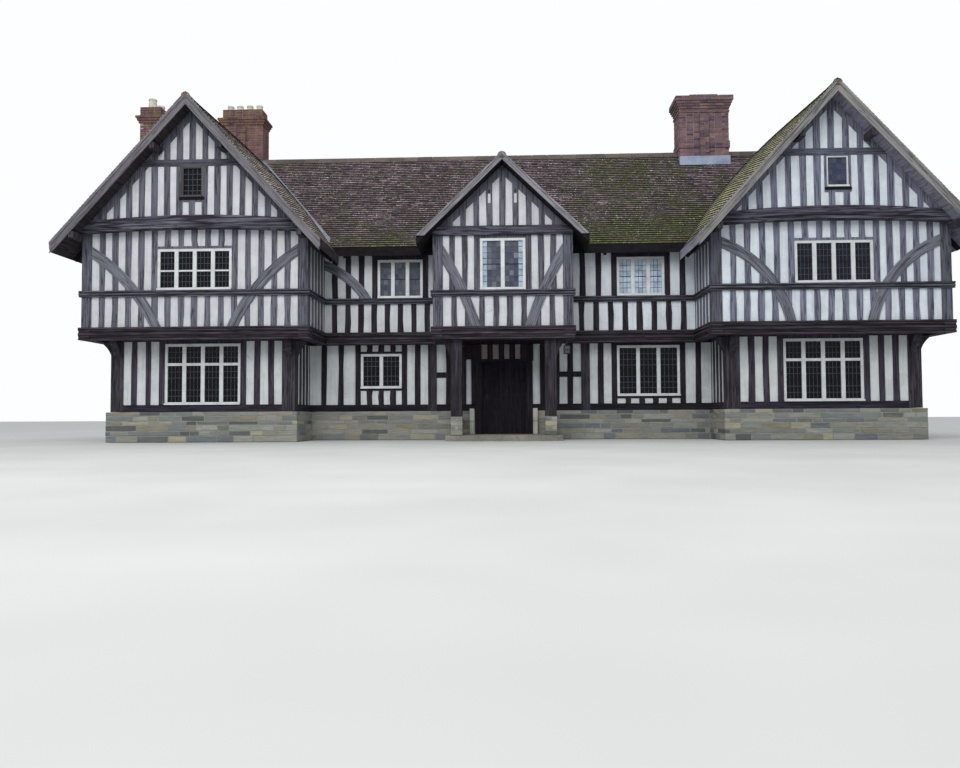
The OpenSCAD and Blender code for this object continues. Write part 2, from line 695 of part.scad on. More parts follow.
// Space under a wing's roof slopes
module under_wing_roof(s) skin("rear", wing_rear, 0, wing_rear) wing_gable2(s * wing_x, 0);

module upper_posts() centred() color(TIMBER) {
    for (s = [-1, 1]) {
        intersection() {
            for (e = [-1, 1]) {
                x = s * wing_x + e * wing_half;
                upper_post(x, 0, -e, 1, tie_z);
                upper_post(x, wing_rear, -e, -1, tie_z);
            }
            under_wing_roof(s);
        }
        for (y = [hall_front, hall_rear - wall_t])
            box(min(s * hall_half, s * (hall_half + wall_t)),
                max(s * hall_half, s * (hall_half + wall_t)), y, y + wall_t, floor_top,
                wing_plate_top - plate_h);
    }
    for (e = [-1, 1]) {
        upper_post(porch_x + e * porch_half, porch_front, -e, 1, porch_tie_z);
        x = porch_x + e * porch_half;
        box(min(x, x - e * wall_t), max(x, x - e * wall_t), hall_front, hall_front + wall_t, floor_top,
            porch_plate_top - plate_h);
    }
}

// Moulded section of a bressumer or rail: a fillet, a roll and a hollow over a square beam
// Drawn as depth behind the face, so it lies from -rail_step to its depth
module moulded(depth, h) {
    roll = h * 0.24;
    difference() {
        union() {
            translate([-rail_step * 0.35, 0]) square([depth + rail_step * 0.35, h]);
            translate([-rail_step, h * 0.72]) square([rail_step * 2, h * 0.28]);
            translate([-rail_step + roll, h * 0.44]) circle(roll);
            translate([-rail_step * 0.7, 0]) square([rail_step, h * 0.16]);
        }
        translate([depth, -h]) square([h * 2, h * 3]);
    }
}

// Moulded beam along X or Y with its face on a wall's outer face
module beam(side, face, u0, u1, z, h, depth) {
    if (side == "front") translate([u0, face, z]) rotate([90, 0, 90])
        linear_extrude(u1 - u0) moulded(depth, h);
    if (side == "rear") translate([u0, face, z]) mirror([0, 1, 0]) rotate([90, 0, 90])
        linear_extrude(u1 - u0) moulded(depth, h);
    if (side == "left") translate([face, u1, z]) rotate([90, 0, 0])
        linear_extrude(u1 - u0) moulded(depth, h);
    if (side == "right") translate([face, u1, z]) mirror([1, 0, 0]) rotate([90, 0, 0])
        linear_extrude(u1 - u0) moulded(depth, h);
}

beam_d = 240;
out = rail_step;

// Ring of bressumers under a wing's upper storey
module wing_bressumer(s) {
    x = s * wing_x;
    difference() {
        union() {
            beam("front", 0, x - wing_half - out, x + wing_half + out, bressumer_z, bressumer_h, beam_d);
            beam("left", x - wing_half, -out, s > 0 ? hall_front + beam_d : wing_rear + out, bressumer_z,
                bressumer_h, beam_d);
            beam("right", x + wing_half, -out, s < 0 ? hall_front + beam_d : wing_rear + out, bressumer_z,
                bressumer_h, beam_d);
            beam("rear", wing_rear, x - wing_half - out, x + wing_half + out, bressumer_z, bressumer_h,
                beam_d);
            beam(s > 0 ? "left" : "right", x - s * wing_half, hall_rear - beam_d, wing_rear, bressumer_z,
                bressumer_h, beam_d);
        }
        flank_stack_hole();
    }
}

module wing_bressumers() centred() color(DARK_TIMBER) {
    wing_bressumer(-1);
    wing_bressumer(1);
}

module hall_bressumers() centred() color(DARK_TIMBER) {
    for (u = [[-hall_half + out, porch_x - porch_half - out], [porch_x + porch_half + out, hall_half - out]])
        beam("front", hall_front, u[0], u[1], bressumer_z, bressumer_h, beam_d);
    beam("rear", hall_rear, -hall_half + out, hall_half - out, bressumer_z, bressumer_h, beam_d);
}

module porch_bressumer() centred() color(DARK_TIMBER) {
    beam("front", porch_front, porch_x - porch_half - out, porch_x + porch_half + out, bressumer_z,
        bressumer_h, beam_d);
    for (s = [-1, 1]) beam(s < 0 ? "left" : "right", porch_x + s * porch_half, porch_front - out,
        hall_front + beam_d, bressumer_z, bressumer_h, beam_d);
}

// Upper floors between the bressumers
module upper_floor() centred() color(TIMBER) difference() {
    union() {
        for (s = [-1, 1]) box(s * wing_x - wing_half + beam_d, s * wing_x + wing_half - beam_d,
            beam_d, wing_rear - beam_d, floor_bottom, floor_top);
        box(-hall_half - beam_d, hall_half + beam_d, hall_front + beam_d, hall_rear - beam_d,
            floor_bottom, floor_top);
        box(porch_x - porch_half + beam_d, porch_x + porch_half - beam_d, porch_front + beam_d,
            hall_front + beam_d + 1, floor_bottom, floor_top);
    }
    stack_hole(right_stack_x, right_stack_y, right_stack);
    stack_hole(centre_stack_x, centre_stack_y, centre_stack);
}

// Rails half way up the upper storey, standing in front of the studs
module mid_rail(side, face, u0, u1) beam(side, face, u0, u1, mid_rail_z, mid_rail_h, -ease);

module mid_rails() centred() color(DARK_TIMBER) {
    for (s = [-1, 1]) {
        x = s * wing_x;
        mid_rail("front", 0, x - wing_half - rail_step, x + wing_half + rail_step);
        mid_rail("rear", wing_rear, x - wing_half - rail_step, x + wing_half + rail_step);
        mid_rail("left", x - wing_half, 0, s > 0 ? hall_front - rail_step - 1
            : flank_stack_y - flank_stack[1] / 2 - ease);
        mid_rail("right", x + wing_half, 0, s < 0 ? hall_front - rail_step - 1 : wing_rear);
        mid_rail(s > 0 ? "left" : "right", x - s * wing_half, hall_rear + rail_step + 1, wing_rear);
    }
    mid_rail("left", -wing_x - wing_half, flank_stack_y + flank_stack[1] / 2 + ease, wing_rear);
    mid_rail("front", hall_front, -hall_half + ease, porch_x - porch_half - ease);
    mid_rail("front", hall_front, porch_x + porch_half + ease, hall_half - ease);
    mid_rail("rear", hall_rear, -hall_half + ease, hall_half - ease);
    mid_rail("front", porch_front, porch_x - porch_half - rail_step, porch_x + porch_half + rail_step);
    mid_rail("left", porch_x - porch_half, porch_front, hall_front - rail_step - 1);
    mid_rail("right", porch_x + porch_half, porch_front, hall_front - rail_step - 1);
}

// Gable outline under the roof's underside
module gable2(u, ridge, pitch, drop, z0, half) intersection() {
    polygon([
        [u, ridge - drop - ease],
        [u + half * 2, ridge - drop - ease - pitch * half * 2],
        [u - half * 2, ridge - drop - ease - pitch * half * 2]
    ]);
    box2(u - half, u + half, z0, ridge);
}

module wing_gable2(x, z0 = tie_z) gable2(x, wing_ridge_z, wing_pitch, wing_slab_drop, z0, wing_half);
module porch_gable2(z0 = porch_tie_z)
    gable2(porch_x, porch_ridge_z, porch_pitch, porch_slab_drop, z0, porch_half);

// Band between two heights over a wing's tie level, cambered in short straight lengths
camber_steps = 12;
module cambered(x, h0, camber0, h1, camber1) polygon(concat(
    [for (i = [0:camber_steps]) let (t = 2 * i / camber_steps - 1)
        [x + t * (wing_half + 1), tie_z + h0 - camber0 * t * t]],
    [for (i = [camber_steps:-1:0]) let (t = 2 * i / camber_steps - 1)
        [x + t * (wing_half + 1), tie_z + h1 - camber1 * t * t]]
));

// Tie beam of a wing
module wing_tie2(x, grow = 0) intersection() {
    wing_gable2(x);
    cambered(x, -1, 0, tie_h + grow, tie_camber);
}

// Front of a tie beam, which hangs lower at its ends, and the roll along it
tie_droop = 100;
module wing_tie_front2(x) intersection() {
    wing_gable2(x, tie_z - tie_droop);
    cambered(x, 0, tie_droop, tie_h, tie_camber);
}

module wing_tie_roll2(x) intersection() {
    wing_gable2(x, tie_z - tie_droop);
    fall = tie_camber - tie_droop;
    cambered(x, tie_h * 0.3, tie_droop + fall * 0.3, tie_h * 0.62, tie_droop + fall * 0.62);
}

module tie_beams() centred() color(DARK_TIMBER) {
    for (s = [-1, 1]) {
        skin("front", gable_face, 0, gable_jetty + wall_t) wing_tie2(s * wing_x);
        skin("front", gable_face, -rail_step * 0.6, gable_jetty - ease) wing_tie_front2(s * wing_x);
        skin("front", gable_face, -rail_step, 0) wing_tie_roll2(s * wing_x);
        skin("rear", wing_rear, 0, wall_t) wing_tie2(s * wing_x);
        skin("rear", wing_rear, -rail_step * 0.6, -ease) wing_tie_front2(s * wing_x);
        skin("rear", wing_rear, -rail_step * 0.6, 0) wing_tie2(s * wing_x);
        skin("rear", wing_rear, -rail_step, -rail_step * 0.5) wing_tie_roll2(s * wing_x);
    }
    skin("front", porch_front, -rail_step, wall_t) intersection() {
        porch_gable2();
        box2(porch_x - porch_half, porch_x + porch_half, porch_tie_z, porch_tie_z + porch_tie_h);
    }
}

// Gable timbers over a tie beam
left_gable_studs = [18, wing_w * 0.97];
right_gable_studs = [16, wing_w * 0.94];
porch_gable_studs = [10, porch_w * 0.895];
module gable_studs(x, spread, z0, z1, grow)
    studs(x - spread[1] / 2, x + spread[1] / 2, z0, z1, spread[0], grow);
attic_sill_z = 6240;
attic_head_z = 7020;
attic_window_w = 530;
function attic_mid(x) = x > 0 ? x + right_attic_shift : x;
function attic_window(x) = window(attic_mid(x), attic_window_w, attic_sill_z, attic_head_z, 1);
attic_jamb = 60;
attic_apron_h = 120;
module attic_hole(x) box2(attic_mid(x) - attic_window_w / 2, attic_mid(x) + attic_window_w / 2,
    attic_sill_z, attic_head_z);

rafter_h = 170;
module rafters2(u, ridge, pitch, drop, half, grow = 0) {
    top = ridge - drop;
    low = top - rafter_h * sqrt(1 + pitch * pitch) - grow;
    polygon([
        [u - half, top - pitch * half], [u, top], [u + half, top - pitch * half],
        [u + half, low - pitch * half], [u, low], [u - half, low - pitch * half]
    ]);
}

module wing_gable_pattern(x, grow = 0) intersection() {
    wing_gable2(x);
    difference() {
        union() {
            gable_studs(x, x > 0 ? right_gable_studs : left_gable_studs, tie_z, wing_ridge_z, grow);
            box2(x - wing_half, x + wing_half, collar_z - grow, collar_z + collar_h + grow);
            rafters2(x, wing_ridge_z, wing_pitch, wing_slab_drop, wing_half, grow);
            box2(attic_mid(x) - attic_window_w / 2 - attic_jamb - grow,
                attic_mid(x) + attic_window_w / 2 + attic_jamb + grow, attic_sill_z - attic_apron_h - grow,
                collar_z);
        }
        attic_hole(x);
    }
}

module porch_gable_pattern(grow = 0) intersection() {
    porch_gable2();
    union() {
        gable_studs(porch_x, porch_gable_studs, porch_tie_z, porch_ridge_z, grow);
        rafters2(porch_x, porch_ridge_z, porch_pitch, porch_slab_drop, porch_half, grow);
    }
}

module gable_frames() centred() color(TIMBER) {
    for (s = [-1, 1]) for (side = ["front", "rear"])
        skin(side, side == "front" ? gable_face : wing_rear, 0, frame_t) difference() {
            wing_gable_pattern(s * wing_x);
            wing_tie2(s * wing_x, ease);
        }
    skin("front", porch_front, 0, frame_t) difference() {
        porch_gable_pattern();
        box2(porch_x - porch_half, porch_x + porch_half, 0, porch_tie_z + porch_tie_h + ease);
    }
}

module gable_infill() centred() color(PLASTER) {
    for (s = [-1, 1]) for (side = ["front", "rear"]) {
        face = side == "front" ? gable_face : wing_rear;
        difference() {
            skin(side, face, panel_set_back, wall_t) difference() {
                wing_gable2(s * wing_x);
                wing_tie2(s * wing_x, ease);
                attic_hole(s * wing_x);
            }
            skin(side, face, -1, frame_t + ease) wing_gable_pattern(s * wing_x, ease);
        }
    }
    difference() {
        skin("front", porch_front, panel_set_back, wall_t) difference() {
            porch_gable2();
            box2(porch_x - porch_half, porch_x + porch_half, 0, porch_tie_z + porch_tie_h + ease);
        }
        skin("front", porch_front, -1, frame_t + ease) porch_gable_pattern(ease);
    }
}

// Attic floors of the wings
attic_floor_t = 160;
attic_floor_half = (wing_ridge_z - wing_slab_drop - tie_z - attic_floor_t) / wing_pitch - 2 * ease;
module attic_floors() centred() color(TIMBER) difference() {
    for (s = [-1, 1]) box(s * wing_x - attic_floor_half, s * wing_x + attic_floor_half,
        wall_t + ease, wing_rear - wall_t - ease, tie_z, tie_z + attic_floor_t);
    stack_hole(right_stack_x, right_stack_y, right_stack);
    stack_hole(centre_stack_x, centre_stack_y, centre_stack);
}

// Wall plates under the eaves, bevelled to the roof
module plate2(top, pitch, w) polygon([
    [0, top - plate_h], [w, top - plate_h], [w, top + pitch * w - ease], [0, top - ease]
]);

// Plate along a wing's side, between its corner posts
module wing_plate(x, e) translate([x + e * wing_half, wing_rear - upper_post_w - ease, 0])
    mirror([e > 0 ? 1 : 0, 0, 0]) rotate([90, 0, 0])
        linear_extrude(wing_rear - 2 * upper_post_w - 2 * ease) plate2(wing_plate_top, wing_pitch, wall_t);

module hall_plate(x0, x1, y, rear) translate([x0, y, 0]) mirror([0, rear ? 1 : 0, 0])
    rotate([90, 0, 90]) linear_extrude(x1 - x0) plate2(hall_plate_top, hall_pitch, wall_t);

module wall_plates() centred() color(TIMBER) difference() {
    union() {
        for (s = [-1, 1]) for (e = [-1, 1]) wing_plate(s * wing_x, e);
        difference() {
            union() {
                hall_plate(-hall_half, porch_x - porch_half - ease, hall_front, false);
                hall_plate(porch_x + porch_half + ease, hall_half, hall_front, false);
                hall_plate(-hall_half, hall_half, hall_rear, true);
            }
            wing_roof_space(-1);
            wing_roof_space(1);
        }
        for (e = [-1, 1]) translate([porch_x + e * porch_half, hall_front + wall_t, 0])
            mirror([e > 0 ? 1 : 0, 0, 0]) rotate([90, 0, 0])
                linear_extrude(hall_front + wall_t - porch_front - upper_post_w - ease)
                    plate2(porch_plate_top, porch_pitch, wall_t);
    }
    flank_stack_hole();
}

// Window frames: a rim with mullions and a transom
module window2(win) {
    a = win[0] - win[1] / 2 + ease;
    w = win[1] - 2 * ease;
    n = win[4];
    rim = n == 1 ? attic_rim : window_rim;
    light = (w - 2 * rim - (n - 1) * mullion_w) / n;
    difference() {
        box2(a, a + w, win[2] + ease, win[3] - ease);
        for (i = [0:n - 1]) {
            u = a + rim + i * (light + mullion_w);
            if (win[5] == 0) box2(u, u + light, win[2] + rim, win[3] - rim);
            else {
                box2(u, u + light, win[2] + rim, win[5] - rim / 2);
                box2(u, u + light, win[5] + rim / 2, win[3] - rim);
            }
        }
    }
}

glass_seat = window_set_back + window_t / 2;
window_sill_out = 45;
window_sill_h = 45;
module window_frames(walls) color(PAINT) for (w = walls) if (w[5] != 0) difference() {
    union() {
        skin(w[0], w[1], window_set_back, window_set_back + window_t) window2(w[5]);
        skin(w[0], w[1], -window_sill_out, window_set_back + 1)
            box2(w[5][0] - w[5][1] / 2 + ease, w[5][0] + w[5][1] / 2 - ease, w[5][2] + ease,
                w[5][2] + window_sill_h);
    }
    glass_sheet(w, ease);
}

module glass_sheet(w, grow = 0) skin(w[0], w[1], glass_seat - grow, glass_seat + glass_t + grow)
    box2(w[5][0] - w[5][1] / 2 + 20 - grow, w[5][0] + w[5][1] / 2 - 20 + grow, w[5][2] + 20 - grow,
        w[5][3] - 20 + grow);

module glass_sheets(walls) color(GLASS) for (w = walls) if (w[5] != 0) glass_sheet(w);

function attic_walls() = [for (s = [-1, 1]) for (side = ["front", "rear"])
    wall(side, side == "front" ? gable_face : wing_rear, 0, 0, [0, 0, 0], attic_window(s * wing_x))];

module ground_windows() centred() window_frames(ground_walls());
module upper_windows() centred() window_frames(upper_walls());
module attic_windows() centred() window_frames(attic_walls());
module ground_glass() centred() glass_sheets(ground_walls());
module upper_glass() centred() glass_sheets(upper_walls());
module attic_glass() centred() glass_sheets(attic_walls());

// Door frame with a rebate in front of the leaf, and hinge pins on its inner face
door_y = hall_ground_front + wall_t - door_t - 10;
door_x0 = porch_x - door_w / 2;
door_z0 = sill_h + door_gap;
door_rebate = 20;
door_stop_t = 40;
hinge_out = 26;
hinge_side = 4;
hinge_x = door_x0 - hinge_side;
hinge_y = door_y + door_t + hinge_out;
hinge_levels = [450, 1560];
knuckle_r = 21;
knuckle_l = 70;
pin_play = 0.3;
pin_ease = 0.2;
hinge_plate_h = 16;
hinge_plate_w = 60;
strap_l = 760;
strap_t = 12;
strap_inset = 6;
module door_frame() centred() color(DARK_TIMBER) {
    skin("front", hall_ground_front - 20, 0, wall_t + 10) difference() {
        box2(porch_x - door_side, porch_x + door_side, sill_h, door_top);
        box2(door_x0 - door_gap, door_x0 + door_w + door_gap, sill_h - 1, door_z0 + door_h + door_gap);
    }
    skin("front", door_y - door_gap - door_stop_t, 0, door_stop_t) difference() {
        box2(door_x0 - door_gap - 1, door_x0 + door_w + door_gap + 1, sill_h,
            door_z0 + door_h + door_gap + 1);
        box2(door_x0 + door_rebate, door_x0 + door_w - door_rebate, sill_h - 1,
            door_z0 + door_h - door_rebate);
    }
    for (z = hinge_levels) translate([hinge_x, hinge_y, sill_h + z]) {
        cylinder(r = hinge_pin_r, h = knuckle_l + hinge_side);
        translate([0, 0, -hinge_plate_h]) {
            cylinder(r = hinge_pin_r + hinge_side, h = hinge_plate_h);
            translate([-hinge_plate_w, -hinge_pin_r, 0])
                cube([hinge_plate_w, 2 * hinge_pin_r, hinge_plate_h]);
            translate([-hinge_plate_w, -hinge_out, 0])
                cube([hinge_plate_w - door_gap + hinge_side, hinge_out + hinge_pin_r, hinge_plate_h]);
        }
    }
}

// Plank door leaf with its strap hinges
module front_door() centred() color("#24262c") {
    box(door_x0, door_x0 + door_w, door_y, door_y + door_t, door_z0, door_z0 + door_h);
    for (z = hinge_levels) translate([hinge_x, hinge_y, sill_h + z + pin_play]) {
        difference() {
            union() {
                cylinder(r = knuckle_r, h = knuckle_l);
                translate([hinge_side, -hinge_out, strap_inset])
                    cube([strap_l, strap_t, knuckle_l - 2 * strap_inset]);
            }
            translate([0, 0, -1]) cylinder(r = hinge_pin_r + pin_ease, h = knuckle_l + 2);
        }
    }
}

// Porch posts with curved brackets
bracket_out = 230;
bracket_h = 640;
bracket_t = 220;
module porch_posts() centred() color(TIMBER) for (s = [-1, 1]) {
    x = porch_x + s * porch_post_span / 2;
    box(x - porch_post_w / 2, x + porch_post_w / 2, porch_post_y, porch_post_y + porch_post_w,
        porch_base_h, bressumer_z);
    box(x - porch_post_w / 2, x + porch_post_w / 2, porch_front + beam_d + ease, hall_front - ease,
        bressumer_z - porch_plate_drop, floor_bottom);
    translate([x + s * porch_post_w / 2, porch_post_y + (porch_post_w + bracket_t) / 2,
        bressumer_z - bracket_h]) mirror([s < 0 ? 1 : 0, 0, 0]) rotate([90, 0, 0]) linear_extrude(bracket_t)
            bracket2(bracket_out, bracket_h - ease);
}

// Roof slopes; the two slopes of a roof stand apart by a narrow gap under the ridge tiles
ridge_gap = 10;
module slope2(ridge, pitch, drop, eave) polygon([
    [ridge_gap, ridge - pitch * ridge_gap], [eave, ridge - pitch * eave],
    [eave, ridge - pitch * eave - drop], [ridge_gap, ridge - pitch * ridge_gap - drop]
]);

module wing_slopes(s) difference() {
    y0 = wing_verge_y;
    y1 = wing_rear_verge_y;
    for (e = [0, 1]) translate([s * wing_x, y1, 0]) mirror([e, 0, 0]) rotate([90, 0, 0])
        linear_extrude(y1 - y0) slope2(wing_ridge_z, wing_pitch, wing_slab_drop, wing_eave);
    between_valleys();
}

// Space between the valleys where the hall range's roof takes over from the wings' roofs
eave_lap = 60;
function valley_x(d) = wing_x - (wing_ridge_z - hall_ridge_z + hall_pitch * d) / wing_pitch;
module between_valleys() {
    d0 = hall_d / 2 + hall_eave - eave_lap;
    d1 = (wing_pitch * wing_half - wing_ridge_z + hall_ridge_z) / hall_pitch;
    x = hall_half + ease;
    for (e = [0, 1]) translate([0, hall_ridge_y, 0]) mirror([0, e, 0]) linear_extrude(wing_ridge_z)
        polygon([[-x, -1], [x, -1], [x, d1], [valley_x(d0), d0], [-valley_x(d0), d0], [-x, d1]]);
}

module left_wing_roof() centred() color(TILE) difference() {
    wing_slopes(-1);
    stack_hole(centre_stack_x, centre_stack_y, centre_stack);
    flank_stack_hole();
}

module right_wing_roof() centred() color(TILE) difference() {
    wing_slopes(1);
    stack_hole(right_stack_x, right_stack_y, right_stack);
}

// Space under a wing's roof surface, which cuts the hall range's roof
module wing_roof_space(s) translate([s * wing_x, 2 * wing_rear, 0]) rotate([90, 0, 0])
    linear_extrude(3 * wing_rear) polygon([
        [0, wing_ridge_z + ease], [2 * wing_x, wing_ridge_z + ease - 2 * wing_pitch * wing_x],
        [-2 * wing_x, wing_ridge_z + ease - 2 * wing_pitch * wing_x]
    ]);

module hall_roof() centred() color(TILE) difference() {
    for (e = [0, 1]) translate([-wing_x, hall_ridge_y, 0]) mirror([0, e, 0]) rotate([90, 0, 90])
        linear_extrude(2 * wing_x) slope2(hall_ridge_z, hall_pitch, hall_slab_drop, hall_d / 2 + hall_eave);
    wing_roof_space(-1);
    wing_roof_space(1);
    stack_hole(right_stack_x, right_stack_y, right_stack);
    stack_hole(centre_stack_x, centre_stack_y, centre_stack);
    porch_roof_space();
    for (s = [-1, 1]) box(s * wing_x - ridge_tile_w / 2 - ease, s * wing_x + ridge_tile_w / 2 + ease,
        0, wing_rear, 0, wing_ridge_z);
}

// Space under the porch roof's surface, over the porch room
module porch_roof_space() translate([porch_x, hall_front + wall_t, 0]) rotate([90, 0, 0])
    linear_extrude(hall_front + wall_t) intersection() {
        polygon([
            [0, porch_ridge_z + ease], [porch_eave, porch_ridge_z + ease - porch_pitch * porch_eave],
            [porch_eave, 0], [-porch_eave, 0], [-porch_eave, porch_ridge_z + ease - porch_pitch * porch_eave]
        ]);
        box2(-porch_half - ease, porch_half + ease, 0, porch_ridge_z * 2);
    }

// Space under the hall range's front slope, which cuts the porch roof
module hall_roof_space() translate([-wing_x, hall_ridge_y, 0]) rotate([90, 0, 90])
    linear_extrude(2 * wing_x) polygon([
        [0, hall_ridge_z + ease], [0, 0], [-hall_d / 2 - hall_eave, 0],
        [-hall_d / 2 - hall_eave, hall_ridge_z + ease - hall_pitch * (hall_d / 2 + hall_eave)]
    ]);

module porch_roof() centred() color(TILE) difference() {
    for (e = [0, 1]) translate([porch_x, hall_ridge_y, 0]) mirror([e, 0, 0]) rotate([90, 0, 0])
        linear_extrude(hall_ridge_y - porch_verge_y)
            slope2(porch_ridge_z, porch_pitch, porch_slab_drop, porch_eave);
    difference() {
        hall_roof_space();
        box(porch_x - porch_half, porch_x + porch_half, 0, hall_front + wall_t - ease, 0, hall_ridge_z);
    }
}

// Ridge tiles: an angle that sits astride the ridge
module ridge_tile2(ridge, pitch) {
    w = ridge_tile_w / 2;
    rise = ridge_tile_t * sqrt(1 + pitch * pitch);
    polygon([
        [0, ridge + rise], [w, ridge - pitch * w + rise], [w, ridge - pitch * w + ease],
        [0, ridge + ease], [-w, ridge - pitch * w + ease], [-w, ridge - pitch * w + rise]
    ]);
}

module ridge_tiles() centred() color(CLAY) difference() {
    union() {
        for (s = [-1, 1]) translate([s * wing_x, wing_rear_verge_y, 0]) rotate([90, 0, 0])
            linear_extrude(wing_rear_verge_y - wing_verge_y) ridge_tile2(wing_ridge_z, wing_pitch);
        difference() {
            translate([-wing_x, hall_ridge_y, 0]) rotate([90, 0, 90])
                linear_extrude(2 * wing_x) ridge_tile2(hall_ridge_z, hall_pitch);
            wing_roof_space(-1);
            wing_roof_space(1);
        }
        difference() {
            translate([porch_x, hall_ridge_y, 0]) rotate([90, 0, 0])
                linear_extrude(hall_ridge_y - porch_verge_y) ridge_tile2(porch_ridge_z, porch_pitch);
            hall_roof_space();
        }
    }
    stack_hole(right_stack_x, right_stack_y, right_stack);
    stack_hole(centre_stack_x, centre_stack_y, centre_stack);
    translate([right_stack_x, right_stack_y, 0])
        cap_course([right_stack[0], ridge_tile_w * 2], 0, hall_ridge_z * 2, stack_band_step + ease);
}

// Bargeboards along the verges, mitred at the top
module barge2(ridge, pitch, eave, h) polygon([
    [ease, ridge - pitch * ease], [eave, ridge - pitch * eave],
    [eave, ridge - pitch * eave - h * 0.55], [eave - 120, ridge - pitch * (eave - 120) - h],
    [ease, ridge - pitch * ease - h]
]);

module barge_pair(x, y, ridge, pitch, eave, h) for (e = [0, 1])
    translate([x, y, 0]) mirror([e, 0, 0]) rotate([90, 0, 0]) linear_extrude(barge_t)
        barge2(ridge, pitch, eave, h);

module bargeboards() centred() color("#8f8b90") {
    for (s = [-1, 1]) {
        barge_pair(s * wing_x, wing_verge_y, wing_ridge_z, wing_pitch, wing_eave, barge_h);
        barge_pair(s * wing_x, wing_rear_verge_y + barge_t, wing_ridge_z, wing_pitch, wing_eave, barge_h);
    }
    barge_pair(porch_x, porch_verge_y, porch_ridge_z, porch_pitch, porch_eave, barge_h * 0.65);
}

// Purlin ends that carry the verges
function slope_under(d) = wing_ridge_z - wing_slab_drop - wing_pitch * d;
purlin_w = 130;
purlin_h = 150;
module purlin_ends() centred() color(TIMBER)
    for (s = [-1, 1]) for (e = [-1, 1]) for (f = [wing_half * 0.29, wing_half - purlin_w / 2])
        translate([s * wing_x + e * f, gable_face, 0]) rotate([90, 0, 0]) linear_extrude(verge_out - ease)
            translate([-purlin_w / 2, slope_under(f + purlin_w / 2) - ease - purlin_h])
                square([purlin_w, purlin_h]);

// Brick stack with ribs on its long sides and a corbelled cap
module stack(size, z0, z1, cap_h, rib_w = stack_rib_w) {
    translate([-size[0] / 2, -size[1] / 2, z0]) cube([size[0], size[1], z1 - z0]);
    if (rib_w > 0) translate([-rib_w / 2, -size[1] / 2 - stack_rib_step, z0])
        cube([rib_w, size[1] + 2 * stack_rib_step, z1 - cap_h - z0]);
}

module cap_course(size, z, h, step) translate([-size[0] / 2 - step, -size[1] / 2 - step, z])
    cube([size[0] + 2 * step, size[1] + 2 * step, h]);

course = 75;
right_cap_step = 125;
centre_block_in = 40;
right_cap_raise = 45;
module right_chimney() centred() color(BRICK) translate([right_stack_x, right_stack_y, 0]) {
    stack(right_stack, 0, right_stack_z, 7 * course);
    cap_course(right_stack, right_stack_z - 6.6 * course, course / 2, stack_band_step);
    for (i = [1:4])
        cap_course(right_stack, right_stack_z - (6 - i) * course, course, i * right_cap_step / 4);
    cap_course(right_stack, right_stack_z - course, course, right_cap_step);
    cap_course([right_stack[0] * 0.56, right_stack[1]], right_stack_z, right_cap_raise, 0);
    cap_course(right_stack, hall_ridge_z + 20, 3 * course, stack_band_step);
}

module centre_chimney() centred() color(BRICK) translate([centre_stack_x, centre_stack_y, 0]) {
    stack(centre_stack, 0, centre_stack_z - 4 * course, 4 * course);
    for (i = [1:3]) cap_course(centre_stack, centre_stack_z - (8 - i) * course, course, i * 30);
    cap_course(centre_stack, centre_stack_z - 4 * course, 4 * course, -centre_block_in);
}

module flank_chimney() centred() color(BRICK) {
    x0 = flank_stack_x - flank_stack[0] / 2;
    y0 = flank_stack_y - flank_base_d / 2;
    translate([flank_stack_x, flank_stack_y, 0]) {
        stack(flank_stack, 0, flank_stack_z, 8 * course, 0);
        for (i = [1:3])
            cap_course(flank_stack, flank_stack_z - (8 - i) * course, course, i * stack_cap_step / 3);
    }
    box(x0, left_out - plinth_step - ease, y0, y0 + flank_base_d, 0, plinth_h);
    box(x0, left_out - ease, y0, y0 + flank_base_d, plinth_h, flank_base_h);
}

// Chimney pots
pot_r = 105;
pot_lip = 45;
pot_floor = 20;
module pot(h, r = pot_r) difference() {
    union() {
        cylinder(r1 = r, r2 = r * 0.85, h = h);
        translate([0, 0, h - pot_lip]) cylinder(r = r * 0.98, h = pot_lip);
    }
    translate([0, 0, pot_floor]) cylinder(r = r * 0.65, h = h);
}

pot_pitch = 310;
low_pot_h = 190;
tall_pot_pitch = 580;
tall_pot_h = 290;
tall_pot_r = 130;
right_pot_h = 95;
module chimney_pots() centred() color(CLAY) {
    for (i = [-1.5:1:1.5]) translate([centre_stack_x + i * pot_pitch, centre_stack_y, centre_stack_z])
        pot(low_pot_h);
    for (i = [-1, 0, 1]) translate([flank_stack_x, flank_stack_y + i * tall_pot_pitch, flank_stack_z])
        pot(tall_pot_h, tall_pot_r);
    for (i = [-1, 1]) translate([right_stack_x + i * right_stack_w * 0.38, right_stack_y, right_stack_z])
        pot(right_pot_h);
}

// Lead flashing round the right chimney's foot
lead_low = 530;
lead_h = 290;
lead_t = 12;
module lead_flashing() centred() color(LEAD) difference() {
    translate([right_stack_x, right_stack_y, hall_ridge_z - lead_low])
        cap_course([right_stack_w, right_stack_d + 2 * stack_rib_step], 0, lead_h, lead_t);
    stack_hole(right_stack_x, right_stack_y, right_stack);
    translate([0, 0, -hall_slab_drop]) hall_roof_block();
}

module hall_roof_block() for (e = [0, 1]) translate([-wing_x, hall_ridge_y, 0]) mirror([0, e, 0])
    rotate([90, 0, 90]) linear_extrude(2 * wing_x)
        polygon([[0, 0], [0, hall_ridge_z + hall_slab_drop + ease], [hall_d,
            hall_ridge_z + hall_slab_drop + ease - hall_pitch * hall_d], [hall_d, 0]]);

